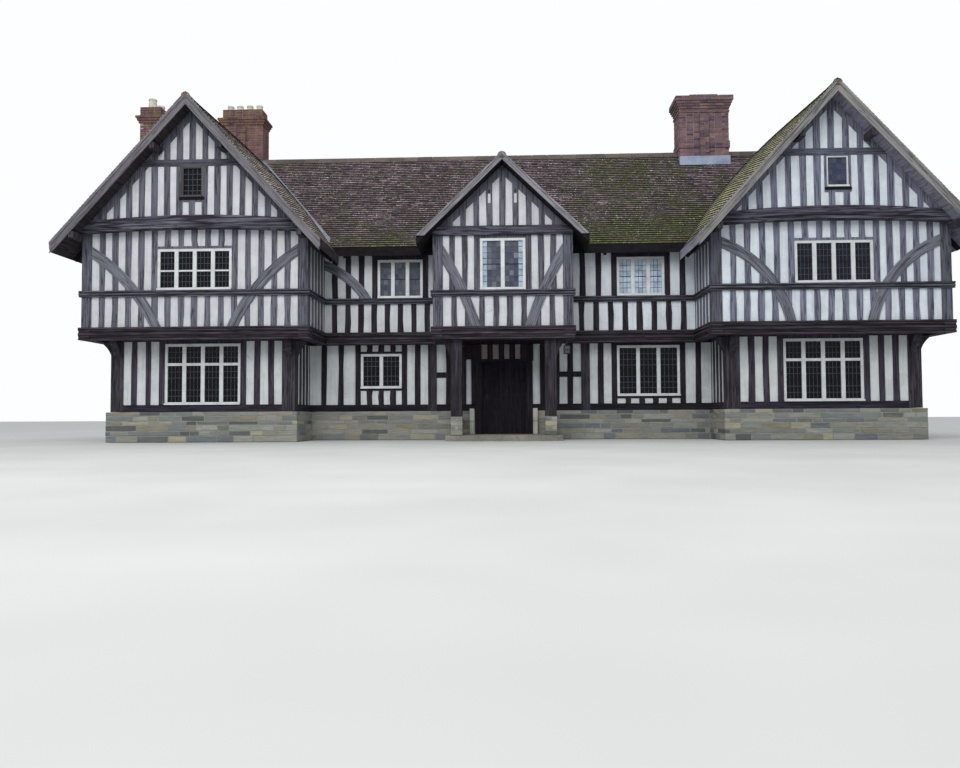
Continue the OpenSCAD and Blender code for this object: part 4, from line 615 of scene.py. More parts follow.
RECIPES = {
    # Upper timbers: grey oak with a blue cast, darker and less blue toward the left as painted shade
    "studs": Oak("grey oak, upright", "#868a9f", "#6c6f81", "#4b4d5e", gloss=0.5,
                 shades=(("X", "#e0dcd5", SHADE_FROM_LEFT),)),
    "gable_studs": Oak("grey oak of the gables", "#818599", "#686b7d", "#494b5c", level=(7.04, 7.21), gloss=0.5,
                       shades=(("X", "#dedad3", SHADE_FROM_LEFT),)),
    "porch_studs": Oak("grey oak of the porch", "#64636f", "#4c4b56", "#312f38", lined=0.5, gloss=0.4),
    # The hall range's upper studs are darkened as painted shade under its eaves
    "hall_studs": Oak("oak of the hall range, darkened as painted eave shade", "#36323c", "#25212a", "#141017", bloomed=0.12,
                      level=(5.13, 5.32)),
    "posts": Oak("grey oak posts", "#6c6e7c", "#535460", "#393944", gloss=0.4),
    "braces": Oak("sawn oak braces", "#7c7e8e", "#666872", "#494a55", Grain.ALONG, gloss=0.5),
    # The rails' moulding grooves are darkened as painted shade
    "rails": Oak("moulded oak rails", "#66656f", "#4a4953", "#29272e", Grain.LEVEL, bloomed=0.25,
                 shades=(("Z", "#8a8a8a", groove_shade(0.016, 3.775, 3.855)),)),
    "ties": Oak("moulded oak tie beams", "#6d6c77", "#53525e", "#251f29", Grain.LEVEL, bloomed=0.3, lined=0.9),
    # Lower timbers: oak that is nearly black under the jetties, partly its own unweathered tone and partly painted
    # shade; the bressumers' grooves are painted shade
    "bressumers": Oak("shaded oak bressumers", "#564f56", "#3b343b", "#181217", Grain.LEVEL, bloomed=0.12,
                      shades=(("Z", "#5c585b", groove_shade(0.02, 2.685, 2.755, 2.83, 2.91)),)),
    "low_studs": Oak("dark oak, upright", "#4b4552", "#39333f", "#1e1920", bloomed=0.16, level=LOW_RAIL),
    "hall_low_studs": Oak("dark oak of the hall range", "#332e37", "#221e25", "#130f14", bloomed=0.1,
                          level=LOW_RAIL),
    "door_frame": Oak("tarred oak frame", "#2c272d", "#201b20", "#120f12", bloomed=0.06),
    "low_posts": Oak("dark oak posts", "#4c484f", "#39353c", "#1e1a1f", bloomed=0.2),
    "porch_oak": Oak("bare oak of the porch", "#403b41", "#2d292e", "#191519", bloomed=0.16),
    "door": Oak("tarred oak planks", "#28232d", "#1d1821", "#100e13", Grain.UPRIGHT, "#2b2831", 0.15, "#060507"),
    # Boards: silver on the verges, and what shows of the roofs' undersides, as copies of one oak in painted shade and
    # light
    # The bargeboards are darkened on the left wing as painted shade, and tinted warm on the right wing
    "boards": Oak("silver bargeboards", "#96959b", "#85848b", "#717079", Grain.ALONG, "#a5a6a4", check="#45434b",
                  gloss=0.5, shades=(("X", "#d2cfd0", ((-4.0, 1.0), (-3.0, 0.0))),
                                     ("X", "#f4f2e6", ((3.0, 0.0), (4.0, 1.0))))),
    "soffit": Oak("oak boards, near black as painted eave shade", "#191417", "#100c0f", "#090708", Grain.LEVEL, bloomed=0.02),
    "left_soffit": Oak("shaded oak boards", "#484044", "#393336", "#292427", Grain.LEVEL, bloomed=0.06),
    # The right wing's undersides are paler, as painted light
    "wing_soffit": Oak("grey oak boards", "#9a98aa", "#8b8899", "#737081", Grain.LEVEL, check="#5a5765", gloss=0.5),
    "floors": Oak("oak floor boards", "#6b5c50", "#55483e", "#3c322b", Grain.LEVEL, bloomed=0.1),
    # Limewash, whiter on the upper storeys; darker below, in the porch and toward the left, as painted shade
    "plaster": Limewash("limewashed plaster", "#d7dee6", "#c8cfd7", "#a5a59f", 0.4, (("X", "#f0ebe9", SHADE_FROM_LEFT),)),
    "porch_plaster": Limewash("limewashed plaster, darkened as painted porch shade", "#8f878a", "#7c7578", "#655f60", 0.5),
    "low_plaster": Limewash("limewashed plaster, darkened as painted jetty shade", "#cdd1d4", "#bdc0c2", "#98958b", 0.5),
    "pale_block": Limewash("limewashed stone blocks", "#b9b8b2", "#a3a29b", "#7d7a6f", 0.6),
    # Fired clay: tones, then moss, lichen and where the moss gathers
    "tiles": PlainTiles(
        "weathered plain clay tiles", ("#3d3237", "#5f4e54", "#473b40", "#6a595e", "#4f4348", "#796a6b", "#594950"),
        ("#262912", "#535a20"), "#b5b2b0",
        (("X", ((-8.0, 0.03), (-3.4, 0.02), (-2.0, 0.06), (1.0, 0.01), (2.8, 0.16), (6.2, 0.15), (8.0, 0.0))),
         ("Z", ((4.9, 0.25), (5.7, 0.1), (6.4, 0.02), (7.6, -0.03), (8.6, 0.05))))),
    # The wings' tiles are paler than the hall range's, as painted light on slopes seen edge-on
    "left_tiles": PlainTiles(
        "plain clay tiles of the left wing", ("#5a4f4a", "#82756b", "#6c605a", "#93867a"), ("#55523a", "#807b5a"),
        "#b9b7ae", (("Z", ((5.0, 0.12), (8.6, 0.0))),)),
    "right_tiles": PlainTiles(
        "mossy plain clay tiles of the right wing", ("#4a4038", "#6e6350", "#5c5144", "#80765f"),
        ("#5c5e38", "#a0a27a"), "#b5b3a4",
        (("Y", ((-4.8, 0.2), (-2.6, 0.16), (-1.4, 0.02))), ("Z", ((5.0, -0.04), (8.7, 0.08))))),
    "ridge": Fired("weathered clay ridge tiles", ("#544a47", "#665a55", "#4c4441"), "#4f5430", 0.6, "#a19f97", 0.7),
    "bricks": Fired("soft red bricks", ("#4b3b4a", "#7d6167", "#644c5b", "#8f7169", "#554353", "#755c66"),
                    "#5b5330", 0.2, "#b4a7a8", 0.55, 0.1, 9.9),
    "old_bricks": Fired("old red bricks", ("#4c3238", "#704a51", "#5d3d46", "#7b5356", "#543844", "#69484f"),
                        "#6f602e", 0.7, "#a89b8c", 0.45, 0.15, 9.9),
    "clay": Mineral("buff clay pots", "#dad5ca", "#c2baab", "#7a7259", 5.0, 30.0, 0.8, 0.002),
    # Stone and mortar
    "lime_mortar": Mineral("lime mortar", "#a6999d", "#887a7e", "#635759"),
    "pointing": Mineral("pale lime pointing", "#92918a", "#7a7a74", "#62635c"),
    "stones": Toned("squared rubble", ("#595c5c", "#8f9189", "#636c74", "#a29c86", "#747a7c", "#85806d", "#949690")),
    "paving": Mineral("worn stone flags", "#8c8980", "#74726a", "#5c5d54", 2.2),
    # Lead, iron, paint and glass
    "valley_lead": Mineral("old lead of the valleys", "#858c99", "#6b717d", "#9aa1ac", *LEAD),
    "lead": Mineral("old sheet lead", "#a3aec5", "#848fa8", "#b2bed2", *LEAD),
    "cames": Mineral("lead cames", "#50545f", "#3e424c", "#60646e", *THIN_LEAD),
    # A darker copy of the cames, as painted shade, for lights whose panes carry the painted sky reflection
    "dark_cames": Mineral("lead cames against the sky", "#3d444f", "#2d333c", "#4c535e", *THIN_LEAD),
    "iron": Mineral("black iron", "#1e1f23", "#121317", "#33291f", 9.0, 80.0, 0.5, 0.001, 0.5, 0.3),
    "paint": Paint("eggshell paint", "#cfd3d6", "#bdc0bf"),
    "attic_paint": Paint("eggshell paint of the gables", "#cfd3d6", "#bdc0bf", (("X", "#4a4340", DARK_LEFT),)),
    # Tones from near black to pale blue: the pale end is a painted reflection of the sky
    "panes": LeadedPane("crown glass", ((0.0, "#060507"), (0.2, "#0e0e16"), (0.35, "#1d1f2d"), (0.48, "#363b5a"),
                                        (0.62, "#545862"), (1.0, "#b6c7d9"))),
    "lantern_glass": Mineral("seeded lantern glass", "#3c4448", "#2c3338", "#5b6468", 9.0, 30.0, 0.12, 0.001),
}


@cache
def material_of(finish: str) -> Material:
    """Makes a finish when it is first asked for, by its short name."""
    return RECIPES[finish].build()


def deselect() -> None:
    """Leaves edit mode and selects nothing."""
    if bpy.context.object and bpy.context.object.mode != "OBJECT":
        bpy.ops.object.mode_set(mode="OBJECT")
    bpy.ops.object.select_all(action="DESELECT")


def edit_all() -> None:
    """Enters edit mode with everything selected."""
    bpy.ops.object.mode_set(mode="EDIT")
    bpy.ops.mesh.select_all(action="SELECT")


def pull(by: Sequence[float]) -> None:
    """Draws the selected faces out."""
    bpy.ops.mesh.extrude_region_move(TRANSFORM_OT_translate={"value": tuple(by)})


def wear(piece: Piece, finish: str) -> None:
    """Gives a piece or a node one finish, by its short name."""
    piece.data.materials.clear()
    piece.data.materials.append(material_of(finish))


def settle(piece: Piece, finish: str, body: str = HOUSE, stands_for: Sequence[str] = ()) -> None:
    """Gives a piece its finish and the body it moves with.

    Args:
        piece: the piece, with its place in its mesh.
        finish: short name of its finish.
        body: body that carries it.
        stands_for: CAD nodes that it replaces.
    """
    wear(piece, finish)
    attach(piece, body)
    if stands_for:
        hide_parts(*stands_for)
    LOG.info("%s: %d faces, %s", piece.name, len(piece.data.polygons), finish)


def chosen(piece: Piece, test: Callable[[Vector, Vector], bool]) -> None:
    """Selects faces of a piece in edit mode by their middle and normal.

    Args:
        piece: the piece being edited.
        test: takes a face's middle and normal, and says whether it is wanted.
    """
    bpy.ops.mesh.select_all(action="DESELECT")
    bpy.ops.mesh.select_mode(type="FACE")
    bpy.ops.object.mode_set(mode="OBJECT")
    for face in piece.data.polygons:
        face.select = test(face.center, face.normal)
    bpy.ops.object.mode_set(mode="EDIT")


def cut_board(outline: Sequence[Sequence[float]], depth: Sequence[float], bevel: float = 0.0) -> Piece:
    """Saws a flat board to an outline: a filled ring is set on the outline's corners and pulled out to its depth.

    Args:
        outline: its corners in order, as points in space.
        depth: the way and distance that the board is pulled out.
        bevel: width of the arris taken off its edges, or 0.

    Returns:
        The board.
    """
    deselect()
    bpy.ops.mesh.primitive_circle_add(vertices=len(outline), fill_type="NGON")
    piece = bpy.context.object
    for corner, place in zip(piece.data.vertices, outline):
        corner.co = place
    edit_all()
    pull(depth)
    bpy.ops.mesh.select_all(action="SELECT")
    bpy.ops.mesh.normals_make_consistent(inside=False)
    if bevel:
        bpy.ops.mesh.bevel(offset=bevel, segments=1, affect="EDGES")
    bpy.ops.object.mode_set(mode="OBJECT")
    return piece


def join(name: str, pieces: Sequence[Piece]) -> Piece:
    """Joins pieces into one.

    Args:
        name: name of the joined piece.
        pieces: the pieces, with their places in their meshes.

    Returns:
        The joined piece.
    """
    deselect()
    for piece in pieces:
        piece.select_set(True)
    bpy.context.view_layer.objects.active = pieces[0]
    bpy.ops.object.join()
    pieces[0].name = name
    return pieces[0]


def mark(mesh: bpy.types.Mesh, name: str, values: np.ndarray) -> None:
    """Writes a value on each corner of a mesh."""
    marks = mesh.attributes.new(name, "FLOAT", "POINT")
    marks.data.foreach_set("value", values.astype(np.float32))


@dataclass
class Pattern:
    """A shape that is modelled once, to be laid many times: unit sized, in the middle of its own frame."""

    corners: np.ndarray
    faces: list[tuple[int, ...]]
    keeps_arris: bool

    @classmethod
    def block(cls, arris: float = 0.0) -> "Pattern":
        """Squared block, whose arrises are as wide at any size.

        Args:
            arris: width of the arris, in metres.

        Returns:
            The pattern.
        """
        deselect()
        bpy.ops.mesh.primitive_cube_add(size=1)
        if arris:
            edit_all()
            bpy.ops.mesh.bevel(offset=arris, segments=1, affect="EDGES")
            bpy.ops.object.mode_set(mode="OBJECT")
        return cls.take(bpy.context.object, True)

    @classmethod
    def wedge(cls, thin: float) -> "Pattern":
        """Roof tile: a slab that is thick at its tail and thin at its head.

        Args:
            thin: thickness of the head as a share of the tail's.

        Returns:
            The pattern.
        """
        deselect()
        bpy.ops.mesh.primitive_cube_add(size=1)
        tile = bpy.context.object
        bpy.ops.object.mode_set(mode="EDIT")
        chosen(tile, lambda middle, normal: normal.y > 0.5)
        bpy.ops.transform.resize(value=(0.985, 1, thin), center_override=(0, 0.5, -0.62))
        return cls.take(tile, False)

    @classmethod
    def dome(cls, sides: int = 8) -> "Pattern":
        """Head of a nail or end of a ridge: a disc drawn up to a low dome.

        Args:
            sides: number of sides of the disc.

        Returns:
            The pattern.
        """
        deselect()
        bpy.ops.mesh.primitive_cylinder_add(vertices=sides, radius=0.5, depth=1)
        nail = bpy.context.object
        bpy.ops.object.mode_set(mode="EDIT")
        chosen(nail, lambda middle, normal: normal.z > 0.5)
        bpy.ops.mesh.inset(thickness=0.18, depth=0.45)
        return cls.take(nail, False)

    @classmethod
    def take(cls, model: Piece, keeps_arris: bool) -> "Pattern":
        """Keeps a model's corners and faces and puts the model away.

        Args:
            model: the model.
            keeps_arris: whether its edges keep their width when it is laid at another size.

        Returns:
            The pattern.
        """
        deselect()
        corners = np.array([v.co for v in model.data.vertices], float)
        faces = [tuple(f.vertices) for f in model.data.polygons]
        bpy.data.objects.remove(model)
        return cls(corners, faces, keeps_arris)


def spans(ends: np.ndarray, joint: float) -> tuple[np.ndarray, np.ndarray]:
    """Middles and lengths of a course's pieces, by the places and the width of its joints."""
    return (ends[1:] + ends[:-1]) / 2, ends[1:] - ends[:-1] - joint


def bonded(start: float, end: float, size: float, halved: bool, joint: float) -> tuple[np.ndarray, np.ndarray]:
    """Divides a course into like pieces.

    Args:
        start: where the course starts.
        end: where it ends.
        size: about how long a piece is.
        halved: whether it starts and ends with half a piece.
        joint: width of a joint.

    Returns:
        The pieces' middles and lengths.
    """
    count = max(1, round((end - start) / size))
    step = (end - start) / count
    if halved:
        return spans(np.concatenate(([start], start + (np.arange(count) + 0.5) * step, [end])), joint)
    return spans(start + np.arange(count + 1) * step, joint)


@dataclass
class Lay:
    """Copies of a pattern, gathered one by one or in rows and then laid as one piece."""

    pattern: Pattern
    seed: int
    uneven: float = 0.0
    marks_reach: bool = False
    gathered: list[tuple[np.ndarray, ...]] = field(default_factory=list)

    def __post_init__(self) -> None:
        """Seeds the chance that jitters the copies, so that each run is the same."""
        self.chance = np.random.default_rng(self.seed)

    def rows(self, places: np.ndarray, turn: np.ndarray, sizes: np.ndarray, tones: np.ndarray | None = None,
             swing: float = 0.0) -> None:
        """Gathers copies that share a turn.

        Args:
            places: middle of each copy.
            turn: the copies' X, Y and Z axes as columns.
            sizes: size of each copy along its own axes.
            tones: tone of each copy from 0 to 1, or chance.
            swing: how far a copy may be out of true, in radians.
        """
        places = np.atleast_2d(np.asarray(places, float))
        count = len(places)
        turns = np.repeat(np.asarray(turn, float)[None], count, 0)
        if swing:
            tilt = self.chance.uniform(-swing, swing, (count, 3))
            spin = np.repeat(np.eye(3)[None], count, 0)
            spin[:, 0, 1], spin[:, 1, 0] = -tilt[:, 2], tilt[:, 2]
            spin[:, 0, 2], spin[:, 2, 0] = tilt[:, 1], -tilt[:, 1]
            spin[:, 1, 2], spin[:, 2, 1] = -tilt[:, 0], tilt[:, 0]
            turns = turns @ spin
        tones = self.chance.uniform(0, 1, count) if tones is None else np.broadcast_to(tones, count)
        self.gathered.append((places, turns, np.broadcast_to(np.asarray(sizes, float), (count, 3)), tones))

    def box(self, low: Sequence[float], high: Sequence[float]) -> None:
        """Gathers one copy that fills a box between its lowest and its highest corner."""
        low, high = np.asarray(low, float), np.asarray(high, float)
        self.rows((low + high) / 2, np.eye(3), high - low)

    def post(self, x: float, y: float, wide: float, deep: float, z0: float, z1: float) -> None:
        """Gathers one copy round an upright line, by half its width, half its depth and its levels."""
        self.box((x - wide, y - deep, z0), (x + wide, y + deep, z1))

    def course(self, axis: int, middle: np.ndarray, line: np.ndarray, level: float, size: Sequence) -> None:
        """Gathers one course of a wall, in metres from the hall range's middle.

        Args:
            axis: axis that the wall runs along, 0 for X and 1 for Y.
            middle: middle of each block along it.
            line: place of each block's middle across it.
            level: level of the blocks' middles.
            size: length of each block, and their depth and height.
        """
        at, sizes = np.zeros((len(middle), 3)), np.zeros((len(middle), 3))
        at[:, axis], at[:, 1 - axis], at[:, 2] = middle, line, level
        sizes[:, axis], sizes[:, 1 - axis], sizes[:, 2] = size
        at[:, 0] -= LINES.middle_x
        at[:, 1] -= LINES.middle_y
        self.rows(at, np.eye(3), sizes)

    def piece(self, name: str) -> Piece:
        """Lays the copies as one mesh, each with corners and faces of its own.

        Args:
            name: name of the piece.

        Returns:
            The piece, with an attribute for the tone of each copy.
        """
        places, frames, sizes, tones = (np.concatenate(part) for part in zip(*self.gathered))
        unit = self.pattern.corners[None]
        if self.pattern.keeps_arris:
            local = np.sign(unit) * (sizes[:, None] / 2 - (0.5 - np.abs(unit)))
        else:
            local = unit * sizes[:, None]
        if self.uneven:
            local = local + self.chance.uniform(-self.uneven, self.uneven, local.shape)
        world = places[:, None] + np.einsum("kij,knj->kni", frames, local)
        count, corners = world.shape[:2]
        loops = np.array([v for f in self.pattern.faces for v in f])
        starts = np.cumsum([0] + [len(f) for f in self.pattern.faces])[:-1]
        mesh = bpy.data.meshes.new(name)
        mesh.vertices.add(count * corners)
        mesh.vertices.foreach_set("co", world.ravel())
        mesh.loops.add(count * len(loops))
        mesh.loops.foreach_set("vertex_index", (loops[None] + np.arange(count)[:, None] * corners).ravel())
        mesh.polygons.add(count * len(starts))
        mesh.polygons.foreach_set("loop_start", (starts[None] + np.arange(count)[:, None] * len(loops)).ravel())
        mesh.update(calc_edges=True)
        mesh.validate()
        mesh.shade_flat()
        mark(mesh, "tone", np.repeat(tones, corners))
        if self.marks_reach:
            mark(mesh, "reach", np.tile(self.pattern.corners[:, 1] + 0.5, count))
        piece = bpy.data.objects.new(name, mesh)
        bpy.context.scene.collection.objects.link(piece)
        return piece


@dataclass(frozen=True)
class Slope:
    """Tiled slope: its roof, -1 or 1 for its side, start and length along the ridge, and where it is left bare."""

    roof: Roof
    side: int
    start: float
    length: float
    bare: Callable[[np.ndarray], np.ndarray]


@dataclass
class TiledRoofs:
    """Plain tiles on every slope, 165 mm wide and 100 mm to the weather, each a little out of true."""

    width: float = 0.165
    gauge: float = 0.1
    length: float = 0.132
    tail: float = 0.017
    head: float = 0.12
    joint: float = 0.004
    start: float = 0.02
    valley_lap: float = 0.07
    stack_lap: float = 0.01
    edge: float = 0.002
    hall_reach: float = 3.2
    porch_reach: float = 3.0
    porch_length: float = 3.6
    swing: float = 0.007
    slip: float = 0.003
    bed: float = 0.002
    seed: int = 100

    SWELLS: ClassVar[dict[str, tuple[int, float]]] = {"left_wing_tiles": (-1, 0.2), "right_wing_tiles": (1, 0.26)}
    CLAYS: ClassVar[dict[str, str]] = {"left_wing_tiles": "left_tiles", "right_wing_tiles": "right_tiles"}

    def swell(self, piece: Piece, side: int, bulge: float) -> None:
        """Lets a wing's inner slope swell between its verge, its valley, its ridge and its eave.

        Args:
            piece: the tiles of the wing.
            side: -1 for the left wing, 1 for the right.
            bulge: how far the middle of the slope stands out.
        """
        n, wing = LINES, WINGS[side]
        p = np.empty(len(piece.data.vertices) * 3)
        piece.data.vertices.foreach_get("co", p)
        p = p.reshape(-1, 3)
        across = n.wing_x - side * (p[:, 0] + n.middle_x)
        climb = 1 - np.clip(across / wing.eave, 0, 1)
        level = wing.ridge - wing.pitch * across
        valley = HALL.line - np.clip(HALL.ridge - level, 0, None) / HALL.pitch
        behind = np.clip((p[:, 1] + n.middle_y - n.verge) / (valley - n.verge), 0, 1)
        out = bulge * np.sin(np.pi * climb) ** 0.6 * np.sin(np.pi * behind) * (across > self.start)
        p[:, 0] -= side * out * wing.pitch / wing.steep
        p[:, 2] += out / wing.steep
        piece.data.vertices.foreach_set("co", p.ravel())
        piece.data.update()

    def in_stack(self, p: np.ndarray) -> np.ndarray:
        """Finds the points inside a chimney.

        Args:
            p: points of the row frame.

        Returns:
            True for each point in one of the stacks.
        """
        x, y = p[:, 0] + LINES.middle_x, p[:, 1] + LINES.middle_y
        return np.any([(np.abs(x - s.x) < s.w / 2 - self.stack_lap) & (np.abs(y - s.y) < s.d / 2 - self.stack_lap)
                       for s in STACKS.values()], axis=0)

    def bare_wing(self, p: np.ndarray) -> np.ndarray:
        """Where a wing's slope has no tiles: under the hall range's roof and in the stacks.

        Args:
            p: points of the row frame.

        Returns:
            True for each point that gets no tile.
        """
        inner, near = (np.abs(p[:, :2] + (LINES.middle_x, LINES.middle_y - HALL.line))
                       < (LINES.wing_x, self.hall_reach)).T
        return self.in_stack(p) | (inner & near & (HALL.under(p) > self.valley_lap))

    def bare_hall(self, p: np.ndarray) -> np.ndarray:
        """Where the hall range's slopes have no tiles: under the wings' and the porch's roofs and in the stacks.

        Args:
            p: points of the row frame.

        Returns:
            Whether each point is bare.
        """
        front = p[:, 1] + LINES.middle_y < LINES.hall_front + self.porch_reach
        near = np.abs(p[:, 0] + LINES.middle_x - PORCH.line) < PORCH.eave
        under_wings = np.maximum(*(wing.under(p) for wing in WINGS.values()))
        return (self.in_stack(p) | (under_wings > self.valley_lap)
                | (front & near & (PORCH.under(p) > self.valley_lap)))

    def bare_porch(self, p: np.ndarray) -> np.ndarray:
        """Where the porch's slopes have no tiles: under the hall range's roof."""
        return HALL.under(p) > self.valley_lap

    def slopes(self) -> dict[str, list[Slope]]:
        """All slopes, by the name of the piece that covers them."""
        n = LINES
        front, rear = n.verge - n.board + self.edge, n.rear_verge + n.board - self.edge
        hall = (HALL, -n.wing_x, 2 * n.wing_x, self.bare_hall)
        porch = (PORCH, n.porch_verge - n.board + self.edge, self.porch_length, self.bare_porch)
        wings = {side: (wing, front, rear - front, self.bare_wing) for side, wing in WINGS.items()}
        return {name: [Slope(roof, side, *rest) for side in sides] for name, sides, (roof, *rest) in (
            ("left_wing_tiles", (-1, 1), wings[-1]), ("right_wing_tiles", (-1, 1), wings[1]),
            ("hall_front_tiles", (-1,), hall), ("hall_rear_tiles", (1,), hall), ("porch_tiles", (-1, 1), porch))}

    def cover(self, lay: Lay, slope: Slope) -> None:
        """Lays one slope's tiles from the eave up, each course half a tile on from the last.

        Args:
            lay: the tiles gathered so far.
            slope: the slope.
        """
        roof, turn = slope.roof, slope.roof.turn(slope.side)
        corner, along = np.array(roof.at(slope.side * roof.eave, slope.start)), np.array(roof.along)
        for k in range(int((roof.eave * roof.steep - self.start) / self.gauge)):
            middle, broad = bonded(0.0, slope.length, self.width, k % 2 == 1, self.joint)
            slip = lay.chance.uniform(-self.slip, self.slip, len(middle))
            rise = self.start + k * self.gauge + self.length / 2 + (slip if k else np.abs(slip))
            lift = self.tail / 2 - self.bed + lay.chance.uniform(-0.002, 0.001, len(middle))
            at = corner + middle[:, None] * along + rise[:, None] * turn[:, 1] + lift[:, None] * turn[:, 2]
            shown = ~slope.bare(at)
            sizes = np.stack([broad, np.full(len(broad), self.length), np.full(len(broad), self.tail)], 1)
            if shown.any():
                lay.rows(at[shown], turn, sizes[shown], swing=self.swing if k else 0.0)

    def build(self) -> None:
        """Lays all slopes."""
        tile = Pattern.wedge(self.head)
        for i, (name, slopes) in enumerate(self.slopes().items()):
            lay = Lay(tile, self.seed + i, marks_reach=True)
            for slope in slopes:
                self.cover(lay, slope)
            piece = lay.piece(name)
            if name in self.SWELLS:
                self.swell(piece, *self.SWELLS[name])
            settle(piece, self.CLAYS.get(name, "tiles"))


@dataclass
class RidgeTiles:
    """Angle ridge tiles, bedded end to end in short lengths that dip a little, with a cap at each open end."""

    half_width: float = 0.15
    thick: float = 0.022
    bed: float = 0.0003
    length: float = 0.45
    joint: float = 0.008
    dip: float = 0.004
    cap: tuple[float, float, float] = (0.22, 0.19, 0.03)
    cap_low: float = 0.09
    cap_out: float = 0.012
    cap_sides: int = 14
    corners: int = 12
    tuck: float = 0.02
    back: float = 0.01
    short: float = 0.05

    def run(self, roof: Roof, start: float, end: float, seed: int) -> list[Piece]:
        """Lays a run of ridge tiles.

        Args:
            roof: the roof.
            start: where the run starts along its ridge.
            end: where it ends.
            seed: seed of the small dips.

        Returns:
            The tiles.
        """
        chance = np.random.default_rng(seed)
        count = max(1, round((end - start) / self.length))
        step = (end - start) / count
        w, top = self.half_width, self.thick * roof.steep
        section = ((0, top), (w, top), (w, self.bed), (0, self.bed), (-w, self.bed), (-w, top))
        made = []
        for i in range(count):
            dip = float(chance.uniform(0.0, self.dip))
            outline = [roof.at(across, start + i * step, dip - high) for across, high in section]
            made.append(cut_board(outline, roof.along * (step - self.joint)))
        return made

    def caps(self) -> None:
        """Sets a round cap at each open end of the wings' and the porch's ridges."""
        ends = Lay(Pattern.dome(self.cap_sides), 18)
        for roof, y, way in ((WINGS[-1], LINES.verge, -1), (WINGS[1], LINES.verge, -1),
                             (WINGS[-1], LINES.rear_verge, 1), (WINGS[1], LINES.rear_verge, 1),
                             (PORCH, LINES.porch_verge, -1)):
            turn = np.array([[1, 0, 0], [0, 0, way], [0, -way, 0]], float)
            ends.rows(np.array(roof.at(0, y + way * self.cap_out, self.cap_low)), turn, self.cap)
        settle(ends.piece("ridge_ends"), "ridge")

    def build(self) -> None:
        """Lays all ridges, broken where a chimney stands."""
        n, (left, right) = LINES, WINGS.values()
        centre, far = STACKS["centre_chimney"], STACKS["right_chimney"]
        meets = WING.line - (WING.ridge - HALL.ridge) / WING.pitch
        back = HALL.line - (HALL.ridge - PORCH.ridge) / HALL.pitch
        tiles = []
        for seed, (roof, start, end) in enumerate((
                (right, n.verge, n.rear_verge),
                (left, n.verge, centre.y - centre.d / 2 + self.tuck),
                (left, centre.y + centre.d / 2 - self.back, n.rear_verge),
                (HALL, centre.x + centre.w / 2 - self.tuck, far.x - far.w / 2 + self.tuck),
                (HALL, far.x + far.w / 2 - self.back, meets - self.short),
                (PORCH, n.porch_verge, back)), start=11):
            tiles += self.run(roof, start, end, seed)
        piece = join("ridge_tile_runs", tiles)
        self.caps()
        count = len(piece.data.vertices)
        each = np.random.default_rng(17).uniform(0, 1, count // self.corners + 1)
        mark(piece.data, "tone", np.repeat(each, self.corners)[:count])
        settle(piece, "ridge", stands_for=["ridge_tiles"])


def shrunken(name: str, node: str, by: float) -> Piece:
    """Copy of a CAD node drawn in all round, to show between the pieces laid over it.

    Args:
        name: name of the piece.
        node: the CAD node.
        by: how far its faces are drawn in.

    Returns:
        The copy.
    """
    deselect()
    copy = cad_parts[node].copy()
    copy.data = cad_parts[node].data.copy()
    for key in list(copy.keys()):
        del copy[key]
    copy.parent = None
    copy.matrix_world = Matrix.Identity(4)
    copy.name = name
    copy.hide_render = copy.hide_viewport = False
    bpy.context.scene.collection.objects.link(copy)
    copy.hide_set(False)
    copy.select_set(True)
    bpy.context.view_layer.objects.active = copy
    edit_all()
    bpy.ops.mesh.remove_doubles(threshold=0.0002)
    bpy.ops.mesh.dissolve_limited(angle_limit=0.02)
    bpy.ops.transform.shrink_fatten(value=-by, use_even_offset=True)
    bpy.ops.object.mode_set(mode="OBJECT")
    return copy


@dataclass(frozen=True)
class Block:
    """Box of masonry in metres from the hall range's middle: low and high along X, Y and Z."""

    x0: float
    x1: float
    y0: float
    y1: float
    z0: float
    z1: float


